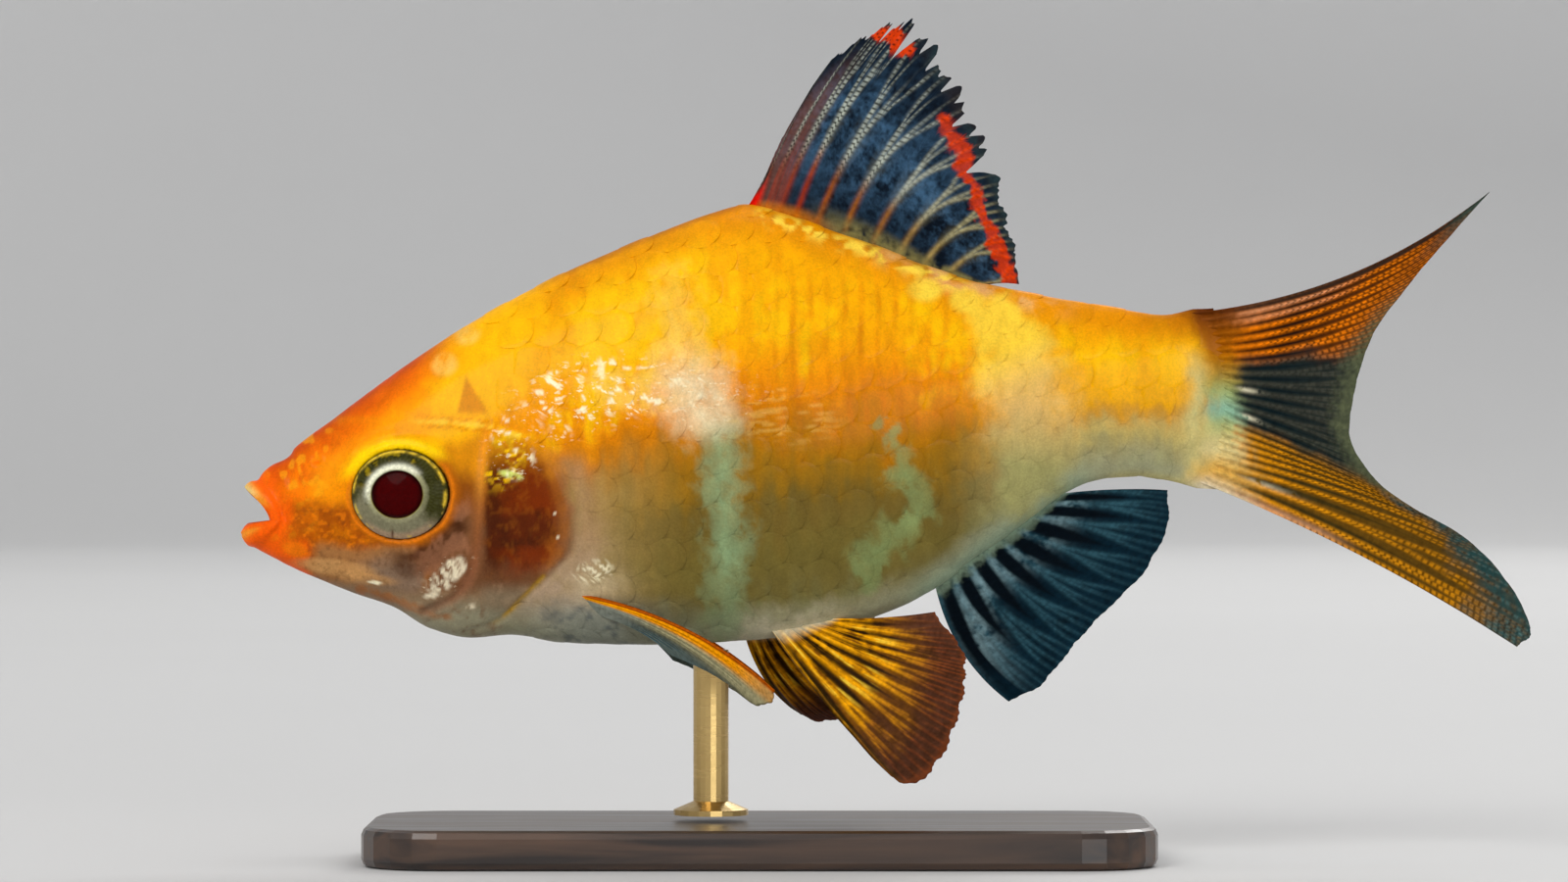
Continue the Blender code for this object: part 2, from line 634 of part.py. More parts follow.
def material(name):
    colour, roughness, metallic = COLOURS[name]
    made = bpy.data.materials.new(name)
    made.use_nodes = True
    shader = made.node_tree.nodes["Principled BSDF"]
    shader.inputs["Base Color"].default_value = (*colour, 1)
    shader.inputs["Roughness"].default_value = roughness
    shader.inputs["Metallic"].default_value = metallic
    made.diffuse_color = (*colour, 1)
    return made


FINISHES = {
    "skin_orange": ("trunk",),
    "skin_head": ("head",),
    "skin_tail": ("tail_stalk",),
    "gill_cover": ("gill_cover_left", "gill_cover_right"),
    "eye": ("eye_left", "eye_right"),
    "dark_fin": ("dorsal_fin", "anal_fin"),
    "gold_fin": ("pectoral_fin_left", "pectoral_fin_right", "pelvic_fin_left", "pelvic_fin_right"),
    "tail_fin": ("tail_fin_upper", "tail_fin_lower"),
    "stand_wood": ("stand_base",),
    "stand_metal": ("stand_rod",),
}


def main():
    clear_scene()
    parts = new_collection("tiger_barb")
    cutters = new_collection("cutters")
    made = {**make_body(parts, cutters), **make_fins(parts), **make_stand(parts)}
    for finish, names in FINISHES.items():
        paint = material(finish)
        for name in names:
            made[name].data.materials.clear()
            made[name].data.materials.append(paint)
            made[name].data.shade_smooth()


main()
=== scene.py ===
"""The looks of a life-size albino tiger barb on its display stand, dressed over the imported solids.

Lengths are in millimetres until to_world() makes them metres. A point on the fish is (s, y, h): s
is the distance behind the tip of the lower lip, y the distance to the fish's right, and h the
height above the level of the mouth.
"""

import math

import bmesh
import bpy
import numpy as np
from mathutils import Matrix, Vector


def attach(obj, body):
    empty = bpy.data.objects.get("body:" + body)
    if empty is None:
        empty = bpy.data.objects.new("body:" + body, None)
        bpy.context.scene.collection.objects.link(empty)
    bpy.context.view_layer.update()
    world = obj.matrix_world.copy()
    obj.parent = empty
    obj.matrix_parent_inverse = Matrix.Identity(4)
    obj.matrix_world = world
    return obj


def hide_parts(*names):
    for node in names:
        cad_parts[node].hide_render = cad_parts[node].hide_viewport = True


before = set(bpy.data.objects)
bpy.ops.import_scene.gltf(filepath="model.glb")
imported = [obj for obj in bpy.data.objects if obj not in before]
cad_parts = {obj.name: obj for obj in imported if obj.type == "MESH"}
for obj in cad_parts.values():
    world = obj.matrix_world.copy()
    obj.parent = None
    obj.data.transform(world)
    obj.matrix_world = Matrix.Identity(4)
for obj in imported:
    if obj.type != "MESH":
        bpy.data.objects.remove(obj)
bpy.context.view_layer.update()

MM = 0.001
BODY = "root"
TOTAL_LENGTH, AXIS_HEIGHT = 65.75, 17.85
SIDES = ((-1, "left"), (1, "right"))

# Body profiles, as (s, value), as in the solids
BACK = (
    (0.85, 1.55), (1.15, 1.98), (1.55, 2.3), (2.3, 2.66), (2.75, 3.2), (4.75, 4.7), (7.75, 6.95),
    (11.75, 9.6), (16.75, 12.25), (21.75, 14.35), (24.2, 15.25), (25.75, 15.6), (26.9, 15.4),
    (28.3, 15.0), (30.2, 14.3), (32.0, 13.7), (34.6, 12.65), (37.8, 11.6), (39.75, 11.2),
    (43.75, 10.5), (47.5, 10.0), (49.6, 10.3),
)
BELLY = (
    (0.8, -2.05), (2.75, -3.05), (5.75, -4.3), (7.75, -5.0), (9.75, -6.15), (11.75, -6.6),
    (13.75, -6.45), (16.75, -6.85), (20.75, -6.95), (26.75, -6.65), (29.75, -6.25), (33.75, -5.0),
    (35.75, -3.85), (37.75, -2.3), (39.75, -0.95), (41.75, 0.6), (43.75, 1.45), (45.5, 1.65),
    (47.75, 1.4), (49.6, 1.0),
)
HALF_WIDTH = (
    (2.1, 1.52), (3.5, 1.95), (5.5, 2.6), (8.25, 3.4), (12.0, 4.1), (16.0, 4.5), (20.0, 4.65),
    (25.0, 4.5), (30.0, 4.0), (35.0, 3.2), (40.0, 2.35), (44.0, 1.7), (47.0, 1.2), (49.6, 0.7),
    (51.4, 0.55),
)
WIDEST_LEVEL = (
    (2.1, -0.58), (5.0, 0.2), (8.25, 0.9), (14.0, 1.5), (22.0, 2.8), (30.0, 3.6), (38.0, 4.8),
    (44.0, 5.8), (49.6, 5.7),
)
BACK_ROUNDNESS = ((2.1, 2.0), (8.0, 2.0), (18.0, 1.8), (34.0, 1.8), (44.0, 2.0), (49.6, 2.4))
BELLY_ROUNDNESS = ((2.1, 2.0), (8.0, 2.1), (20.0, 2.2), (34.0, 2.0), (44.0, 2.0), (49.6, 2.4))
# Rings from inside the mouth to the outer lips: the upper point as (s, h), the side as
# (s, h, half width) and the lower point as (s, h)
MOUTH_RINGS = (
    ((4.2, -0.2), (4.2, -0.4, 0.3), (4.2, -0.6)),
    ((2.6, 0.1), (2.9, -0.42, 0.85), (2.6, -0.9)),
    ((1.3, 0.3), (2.05, -0.5, 1.05), (1.1, -0.8)),
    ((0.5, 0.82), (1.68, -0.52, 1.14), (0.5, -0.66)),
    ((0.2, 1.25), (1.6, -0.52, 1.3), (0.0, -1.3)),
    ((0.55, 1.52), (1.85, -0.55, 1.53), (0.42, -1.92)),
    ((0.84, 1.57), (2.1, -0.58, 1.6), (0.72, -2.0)),
    ((1.0, 1.78), (2.35, -0.58, 1.5), (0.98, -2.14)),
)

# Rear edge of the gill covers and root of the tail fin, as (h, s)
GILL_REAR = (
    (14.0, 11.6), (9.6, 12.2), (6.5, 12.7), (4.4, 13.2), (3.65, 15.1), (1.4, 16.65),
    (-0.45, 17.1), (-1.95, 16.9), (-3.3, 15.8), (-4.7, 14.3), (-6.2, 13.2), (-9.0, 12.6),
)
TAIL_ARC = (
    (14.0, 49.2), (10.35, 49.6), (8.5, 50.35), (5.7, 50.75), (3.0, 50.45), (1.1, 49.9),
    (-3.0, 49.6),
)

# Lines on the body and, at the end, on the dorsal fin, as (s, h)
ORANGE_EDGE = (
    (12.0, 1.0), (17.7, 1.3), (20.2, 2.0), (22.7, 2.7), (27.7, 3.5), (32.7, 3.7), (37.7, 4.4),
    (41.0, 5.3), (46.7, 5.5), (51.0, 5.6),
)
LATERAL = ((12.0, 2.6), (18.0, 2.6), (24.0, 2.8), (30.0, 3.3), (40.0, 5.0), (51.0, 5.7))
PREOPERCLE = ((12.75, 4.3), (12.5, 2.0), (12.3, -0.4), (12.1, -2.6), (11.2, -4.3), (9.4, -5.2))
GILL_FOLD = ((15.6, -3.4), (14.4, -4.6), (13.2, -5.7), (11.6, -6.3))
MAXILLA = ((2.5, 3.0), (2.62, 2.2), (2.6, 1.3), (2.45, 0.4), (2.3, -0.35))
CANAL = ((13.0, 4.25), (11.6, 4.35), (10.2, 4.5), (8.6, 4.5), (6.6, 3.9), (5.6, 2.6))
JAW_LINE = ((6.2, -4.1), (7.8, -4.6), (9.2, -5.1), (10.6, -5.5))
UNDER_EYE = ((7.4, -2.1), (8.8, -2.6), (10.0, -2.1), (11.0, -0.9))
BAR_ONE = (
    (22.2, 11.8), (22.4, 8.8), (23.0, 6.6), (24.0, 4.6), (24.6, 2.4), (24.8, -2.0), (25.0, -6.2),
)
BAR_TWO = ((32.9, 4.2), (33.7, 2.2), (34.3, 0.6), (33.6, -0.9), (32.3, -2.4), (32.2, -3.6))
BAR_THREE = ((38.6, 9.6), (39.6, 7.4), (40.3, 5.0), (40.2, 2.6), (39.6, 0.6))
RED_BAND = (
    (35.8, 19.8), (36.3, 18.9), (36.9, 18.0), (36.9, 17.3), (37.4, 16.5), (37.8, 15.4),
    (38.3, 14.2), (38.8, 13.1), (39.3, 11.6),
)
NOSTRIL = (4.0, 2.5)

# The skin's grid: where its parts end, how fine it is, and how far it lies inside the solids
FACE_END, FINE_END, BODY_END = 6.5, 18.0, 51.0
BEND_START, TAPER_START = 46.0, 48.4
MOUTH_STEPS, FACE_STEPS, FINE_STEPS, BODY_STEPS, AROUND = 56, 90, 150, 90, 256
SIDE_DENSITY = 0.225
SKIN_INSET = 0.07
LIP_CURVE = 1.5
MOUTH_INSIDE = 0.55

# Eyes: place and radii in side view, how far out their parts lie, and the turn forwards.
# Behind the dome lie rings with a share of the radii and a depth past the rim
EYE_S, EYE_H, EYE_RX, EYE_RY = 8.33, 0.81, 2.52, 2.26
EYE_RIM_Y, EYE_APEX_Y, EYE_BACK_Y, EYE_TURN = 3.1, 3.8, 2.6, math.radians(12)
EYE_LIP = 0.02
EYE_BACK = ((0.97, -0.35), (0.9, EYE_BACK_Y - EYE_RIM_Y))
PUPIL = 0.535
PUPIL_DEPTH, PUPIL_DOME, RING_HEIGHT, FIBRE_HEIGHT = 0.1, 0.07, 0.03, 0.004
IRIS_FIBRES = 61
EYE_RINGS, EYE_AROUND = 72, 128

# Curves and steps
LINE_STEPS = 60


def smooth(knots, x):
    """The value at x of a smooth curve through (x, value) knots, with no overshoot between them."""
    at, value = np.array(sorted(knots), float).T
    step = np.diff(at)
    rise = np.diff(value) / step
    slope = np.concatenate([rise[:1], np.zeros(len(at) - 2), rise[-1:]])
    product = rise[:-1] * rise[1:]
    total = np.where(product > 0, rise[:-1] + rise[1:], 1.0)
    slope[1:-1] = np.where(product > 0, 2 * product / total, 0.0)
    x = np.clip(x, at[0], at[-1])
    k = np.clip(np.searchsorted(at, x, side="right") - 1, 0, len(at) - 2)
    t = (x - at[k]) / step[k]
    rest = 1 - t
    return (
        value[k] * rest**2 * (1 + 2 * t)
        + value[k + 1] * t**2 * (1 + 2 * rest)
        + step[k] * (slope[k] * t * rest**2 - slope[k + 1] * rest * t**2)
    )


def soft(x, low, high):
    """0 below low, 1 above high, and a smooth step between."""
    t = np.clip((x - low) / (high - low), 0, 1)
    return t * t * (3 - 2 * t)


def fade(x, full, none):
    """1 below full, 0 above none, and a smooth step between."""
    return soft(-x, -none, -full)


def hump(x, centre, half):
    """A bell curve, 1 at its centre and about a third at half to either side."""
    return np.exp(-(((x - centre) / half) ** 2))


def to_world(points):
    """Fish points in millimetres as world points in metres."""
    moved = np.array(points, float)
    moved[..., 0] -= TOTAL_LENGTH / 2
    moved[..., 2] += AXIS_HEIGHT
    return moved * MM


# Form of the body
def spread(centre, sideways, upwards, angle, power_up, power_down):
    """Section points at angle: 0 is the side, a quarter turn the back, and the far side is beyond."""
    rising = np.sin(angle) >= 0
    power = np.where(rising, power_up, power_down)
    out = np.sign(np.cos(angle)) * np.abs(np.cos(angle)) ** (2 / power)
    up = np.abs(np.sin(angle)) ** (2 / power)
    reach = np.where(rising, upwards[0], upwards[1])
    return sideways * out, centre + (reach - centre) * up, up


def body_point(s, angle):
    """(s, y outwards, h) on the body behind the face, bent at the end to the tail fin's base."""
    taper = np.clip((s - TAPER_START) / (BODY_END - TAPER_START), 0, 1)
    width = smooth(HALF_WIDTH, s) * (1 - 0.88 * taper**1.3)
    ends = smooth(BACK, s), smooth(BELLY, s)
    powers = smooth(BACK_ROUNDNESS, s), smooth(BELLY_ROUNDNESS, s)
    y, h, _ = spread(smooth(WIDEST_LEVEL, s), width, ends, angle, *powers)
    bend = np.clip((s - BEND_START) / (BODY_END - BEND_START), 0, None)
    return s + bend * (smooth(TAIL_ARC, h) - BODY_END), y, h


def side_y(s, h):
    """How far out the lower half of the body reaches at (s, h)."""
    level, belly = smooth(WIDEST_LEVEL, s), smooth(BELLY, s)
    power = smooth(BELLY_ROUNDNESS, s)
    share = np.clip((level - h) / (level - belly), 0, 1)
    return smooth(HALF_WIDTH, s) * (1 - share**power) ** (1 / power)


def under_h(s, y):
    """Height of the body's underside at s, y out from its middle."""
    level, power = smooth(WIDEST_LEVEL, s), smooth(BELLY_ROUNDNESS, s)
    share = np.clip(y / smooth(HALF_WIDTH, s), 0, 1)
    return level - (level - smooth(BELLY, s)) * (1 - share**power) ** (1 / power)


def orbit_share(s, h):
    """Distance from the middle of the eye, 1 at its rim."""
    return np.hypot((s - EYE_S) / EYE_RX, (h - EYE_H) / EYE_RY)


def grid_normals(points):
    """Unit normals of a grid of points, whose columns close on themselves where it is a tube."""
    along = np.gradient(points, axis=0)
    across = np.gradient(points, axis=1)
    if np.allclose(points[:, 0], points[:, -1]):
        wrapped = (points[:, 1] - points[:, -2]) / 2
        across[:, 0] = across[:, -1] = wrapped
    normal = np.cross(along, across)
    length = np.linalg.norm(normal, axis=2, keepdims=True)
    return normal / np.maximum(length, 1e-9)


def line_distance(knots, s, h):
    """Distance of each (s, h) to a smooth line through (s, h) points, and how far along it is."""
    knots = np.array(knots, float)
    place = np.linspace(0, 1, len(knots))
    at = np.linspace(0, 1, LINE_STEPS)
    line_s = smooth(list(zip(place, knots[:, 0])), at)
    line_h = smooth(list(zip(place, knots[:, 1])), at)
    best = np.full(s.shape, np.inf)
    share = np.zeros(s.shape)
    for k in range(len(at) - 1):
        ds, dh = line_s[k + 1] - line_s[k], line_h[k + 1] - line_h[k]
        t = np.clip(((s - line_s[k]) * ds + (h - line_h[k]) * dh) / (ds * ds + dh * dh), 0, 1)
        gap = np.hypot(s - line_s[k] - t * ds, h - line_h[k] - t * dh)
        share = np.where(gap < best, at[k] + t * (at[1] - at[0]), share)
        best = np.minimum(gap, best)
    return best, share


def spot(s, h, centre_s, centre_h, wide, high, lean=0.0):
    """1 at the middle of a leaning oval spot, falling to 0 past its rim."""
    away = np.hypot((s - centre_s - lean * (h - centre_h)) / wide, (h - centre_h) / high)
    return fade(away, 0.6, 1.25)


# Mottling: a table of random numbers, read again at each octave, shifted and with less weight
TABLE_SIZE = 64
OCTAVE_SHIFTS = 17.3, 31.7
OCTAVE_FALL, MOTTLE_GAIN = 0.6, 1.7


def mottle(x, y, seed, octaves=4):
    """Uneven noise with cells of size 1, from about -1 to 1, finer and weaker octave by octave."""
    total, weight, amount = 0.0, 0.0, 1.0
    for octave in range(octaves):
        table = np.random.default_rng(seed + octave).uniform(-1, 1, (TABLE_SIZE, TABLE_SIZE))
        u, v = x * 2**octave + OCTAVE_SHIFTS[0] * octave, y * 2**octave + OCTAVE_SHIFTS[1] * octave
        i, j = np.floor(u).astype(int), np.floor(v).astype(int)
        a, b = soft(u - i, 0, 1), soft(v - j, 0, 1)
        i, j, right, above = (k % TABLE_SIZE for k in (i, j, i + 1, j + 1))
        low = table[i, j] * (1 - a) + table[right, j] * a
        high = table[i, above] * (1 - a) + table[right, above] * a
        total = total + amount * (low * (1 - b) + high * b)
        weight += amount
        amount *= OCTAVE_FALL
    return MOTTLE_GAIN * total / weight


# Colours and how they are laid over each other
def rgb(red, green, blue):
    """A colour from 0 to 255 as seen on screen, in linear light."""
    value = np.array([red, green, blue]) / 255
    return np.where(value <= 0.04045, value / 12.92, ((value + 0.055) / 1.055) ** 2.4)


def lay(under, over, share):
    """Paint over the colours under by share, from 0 to 1 at each point."""
    return under + (over - under) * np.clip(share, 0, 1)[..., None]


def blend(stops, x):
    """The colour at x of a smooth run through (x, colour) stops."""
    return np.stack([smooth([(at, colour[k]) for at, colour in stops], x) for k in range(3)], -1)


class Coat:
    """A colour at each point, over which further colours are laid one by one."""

    def __init__(self, colour):
        self.colour = colour

    def lay(self, over, share):
        self.colour = lay(self.colour, over, share)
        return self.colour


# Colours of the flank, the back and the belly
BRIGHT_GOLD = rgb(250, 196, 6)
STREAK = rgb(206, 112, 2)
BACK_ORANGE = rgb(216, 126, 2)
BACK_EDGE = rgb(140, 64, 2)
FRONT_TAN = rgb(154, 128, 72)
FRONT_ROSE = rgb(178, 152, 126)
FRONT_PALE = rgb(206, 186, 148)
BELLY_PALE = rgb(158, 158, 126)
BELLY_WHITE = rgb(206, 198, 168)
CHEST = rgb(140, 146, 134)
CHEST_DARK = rgb(84, 92, 94)
ROOT_CYAN = rgb(146, 168, 142)
CREAM = rgb(205, 190, 122)
SHEATH_DARK = rgb(132, 116, 52)
DORSAL_GLINT = rgb(255, 216, 70)

# Colours of the pale bars
PALE_PINK = rgb(243, 200, 98)
PALE_WHITE = rgb(226, 202, 158)
PALE_CYAN = rgb(134, 160, 116)
PALE_GREEN = rgb(132, 152, 96)
PALE_YELLOW = rgb(245, 206, 62)
BAR_TAN = rgb(218, 180, 106)
BAR_OLIVE = rgb(164, 158, 98)

# Colours of the head
SNOUT_RED = rgb(192, 60, 4)
LIP_RED = rgb(242, 92, 4)
LIP_TIP = rgb(240, 158, 44)
LIP_PALE = rgb(238, 206, 128)
# The red inside the mouth, darkened as painted shade
MOUTH_SHADED_RED = rgb(58, 10, 3)
MUZZLE_BROWN = rgb(166, 79, 3)
MUZZLE_YELLOW = rgb(250, 170, 20)
JAW_ORANGE = rgb(238, 128, 8)
CHEEK_TAN = rgb(162, 110, 62)
CHEEK_GREY = rgb(134, 108, 86)
CHEEK_DARK = rgb(72, 38, 16)
CHEEK_ROSE = rgb(118, 76, 46)
CHEEK_LILAC = rgb(168, 114, 82)
# The white of painted reflections: the cheek's glints
CHEEK_GLINT_WHITE = rgb(232, 218, 186)
THROAT = rgb(140, 112, 82)
# Paler than the throat's own grey, as painted light against the shade under the head
THROAT_GREY = rgb(156, 150, 122)
THROAT_PALE = rgb(198, 146, 88)
TEMPLE = rgb(206, 122, 8)
TEMPLE_DARK = rgb(140, 74, 12)
GILL_DARK = rgb(70, 24, 4)
GILL_RUST = rgb(116, 40, 2)
GILL_ORANGE = rgb(164, 92, 20)
GILL_LOW = rgb(110, 70, 42)
GILL_PINK = rgb(170, 130, 96)
GILL_GOLD = rgb(208, 158, 18)
GLINT = rgb(255, 244, 206)
GREEN_GLINT = rgb(220, 232, 120)

# Colours of the eye and round it
EYE_ORANGE = rgb(234, 124, 12)
ORBIT_YELLOW = rgb(254, 206, 3)
ORBIT_ORANGE = rgb(176, 92, 3)
PUPIL_RED = rgb(62, 1, 2)
PUPIL_EDGE = rgb(28, 0, 0)
IRIS_SILVER = rgb(168, 166, 126)
# The colour of a painted highlight on the silver ring
IRIS_HIGHLIGHT = rgb(238, 238, 212)
IRIS_OLIVE = rgb(50, 50, 12)
IRIS_GREY = rgb(122, 118, 92)
IRIS_GOLD = rgb(170, 146, 24)
IRIS_DARK = rgb(24, 26, 6)
IRIS_ROSE = rgb(164, 136, 110)
IRIS_EDGE = rgb(22, 18, 6)

# Colours of the dorsal fin
NAVY = rgb(8, 17, 28)
NAVY_BLUE = rgb(66, 102, 134)
RAY_CREAM = rgb(172, 178, 164)
RAY_BROWN = rgb(142, 80, 26)
RAY_RED = rgb(148, 46, 22)
RAY_YELLOW = rgb(158, 144, 86)
TIP_RED = rgb(214, 58, 6)
TIP_GREY = rgb(66, 56, 52)
TIP_TEAL = rgb(32, 58, 62)
FRONT_PINK = rgb(104, 70, 62)
BASE_RED = rgb(214, 18, 4)
SHEATH_GREEN = rgb(128, 120, 70)

# Colours of the anal fin
BLACK_TEAL = rgb(3, 10, 17)
DEEP_TEAL = rgb(6, 30, 42)
RAY_STEEL = rgb(44, 80, 92)
BLOTCH = rgb(122, 150, 156)

# Colours of the tail fin
TAIL_BROWN = rgb(32, 13, 3)
TAIL_ORANGE = rgb(238, 124, 6)
TAIL_GOLD = rgb(222, 144, 12)
TAIL_TEAL = rgb(5, 22, 26)
TAIL_GREY = rgb(54, 74, 66)
TAIL_BLUE = rgb(34, 64, 64)
TAIL_MARGIN_GREY = rgb(84, 90, 64)
TAIL_PALE_BLUE = rgb(92, 130, 128)
TAIL_EDGE = rgb(52, 36, 26)
TAIL_OLIVE = rgb(62, 50, 16)
TAIL_BEAD = rgb(206, 150, 112)

# Colours of the pelvic and pectoral fins
PELVIC_DARK = rgb(38, 22, 4)
PELVIC_GOLD = rgb(246, 168, 6)
PELVIC_RED = rgb(128, 62, 28)
PELVIC_TAN = rgb(146, 88, 12)
PELVIC_OLIVE = rgb(96, 76, 18)
PELVIC_ROSE = rgb(92, 54, 38)
PECTORAL_ORANGE = rgb(252, 160, 4)
PECTORAL_RIM = rgb(176, 80, 2)
PECTORAL_PALE = rgb(152, 146, 110)
PECTORAL_BLUE = rgb(44, 76, 88)

# Runs of colours: by height over the orange edge on the flank and the stalk, by s on the
# head, by depth under the back on its top, and from end to end of the cheek's ridge and of
# the tail's root
# Both runs grow darker downwards partly from the fish's own olive and partly as painted shade
FLANK_STOPS = (
    (-9.6, rgb(138, 134, 98)), (-8.4, rgb(121, 116, 72)), (-7.0, rgb(114, 101, 50)),
    (-5.0, rgb(111, 96, 42)), (-3.4, rgb(112, 91, 36)), (-2.4, rgb(130, 97, 25)),
    (-1.2, rgb(152, 105, 13)), (0.0, rgb(176, 110, 3)), (1.2, rgb(202, 119, 2)),
    (2.4, rgb(226, 134, 2)), (3.8, rgb(238, 152, 2)), (5.4, rgb(242, 165, 2)),
)
STALK_STOPS = (
    (-5.5, rgb(148, 152, 110)), (-3.6, rgb(152, 148, 98)), (-2.4, rgb(156, 145, 95)),
    (-1.3, rgb(186, 160, 90)), (-0.3, rgb(203, 146, 48)), (0.7, rgb(232, 163, 2)),
    (3.0, rgb(238, 165, 2)),
)
HEAD_STOPS = (
    (0.5, rgb(244, 92, 2)), (2.4, rgb(248, 106, 2)), (3.6, rgb(248, 124, 2)), (4.6, rgb(246, 142, 2)),
    (7.0, rgb(252, 148, 2)), (9.2, rgb(252, 160, 2)), (10.8, rgb(252, 180, 3)), (14.0, rgb(250, 180, 3)),
    (17.0, rgb(247, 172, 2)),
)
TOP_STOPS = (
    (0.1, rgb(200, 74, 3)), (0.7, rgb(220, 96, 2)), (1.5, rgb(238, 116, 2)), (2.4, rgb(248, 134, 2)),
)
RIDGE_STOPS = (
    (0.0, rgb(240, 150, 20)), (0.22, rgb(226, 146, 40)), (0.36, rgb(164, 98, 44)),
    (0.6, rgb(138, 84, 52)), (1.0, rgb(130, 96, 72)),
)
TAIL_ROOT_STOPS = (
    (0.0, rgb(96, 44, 8)), (0.12, rgb(142, 76, 4)), (0.26, rgb(170, 104, 6)), (0.36, rgb(164, 132, 52)),
    (0.47, rgb(152, 168, 112)), (0.56, rgb(134, 174, 146)), (0.66, rgb(176, 180, 118)),
    (0.78, rgb(214, 196, 134)), (0.9, rgb(214, 168, 80)), (1.0, rgb(204, 190, 158)),
)

# Bars, by the share of their length from the top: half widths, strength and colours
BAR_ONE_WIDTH = ((0, 0.8), (0.17, 1.3), (0.36, 2.2), (0.5, 1.8), (0.64, 1.3), (1, 1.1))
BAR_ONE_STRENGTH = ((0, 0.2), (0.17, 0.5), (0.33, 0.8), (0.5, 0.85), (0.68, 0.8), (1, 0.5))
BAR_ONE_STOPS = ((0.17, PALE_PINK), (0.36, PALE_WHITE), (0.48, PALE_WHITE), (0.62, PALE_CYAN))
BAR_TWO_WIDTH = ((0, 0.3), (0.35, 1.1), (0.7, 1.2), (1, 0.7))
BAR_THREE_WIDTH = ((0, 1.3), (0.3, 2.2), (0.7, 2.3), (1, 1.6))
BAR_THREE_STOPS = ((0.15, PALE_YELLOW), (0.45, BAR_TAN), (0.8, BAR_OLIVE))
RED_BAND_WIDTH = ((0, 0.3), (0.15, 0.55), (0.35, 0.6), (0.5, 0.35), (0.8, 0.4), (1, 0.3))
TAIL_BAND_S = 49.0

# Glints on the cheek: s, h, half width and half height
CHEEK_GLINTS = (
    (11.05, -2.75, 0.5, 0.4), (10.7, -3.3, 0.75, 0.5), (10.3, -3.85, 0.62, 0.36),
    (11.4, -3.05, 0.25, 0.4), (9.85, -4.35, 0.4, 0.14), (11.9, -4.9, 0.3, 0.1),
)

# Areas of painted glints, tiny bright highlights: strength, then a spot's s, h, half width, half height
# and lean
GLINT_AREAS = (
    (1.1, 18.6, 6.0, 4.4, 1.9, 0.6), (0.9, 15.4, 4.6, 2.2, 1.6), (0.8, 10.6, -3.3, 1.3, 1.1, 0.7),
    (1.0, 14.0, 2.9, 1.5, 1.6), (0.5, 24.0, 5.6, 3.0, 2.0),
)
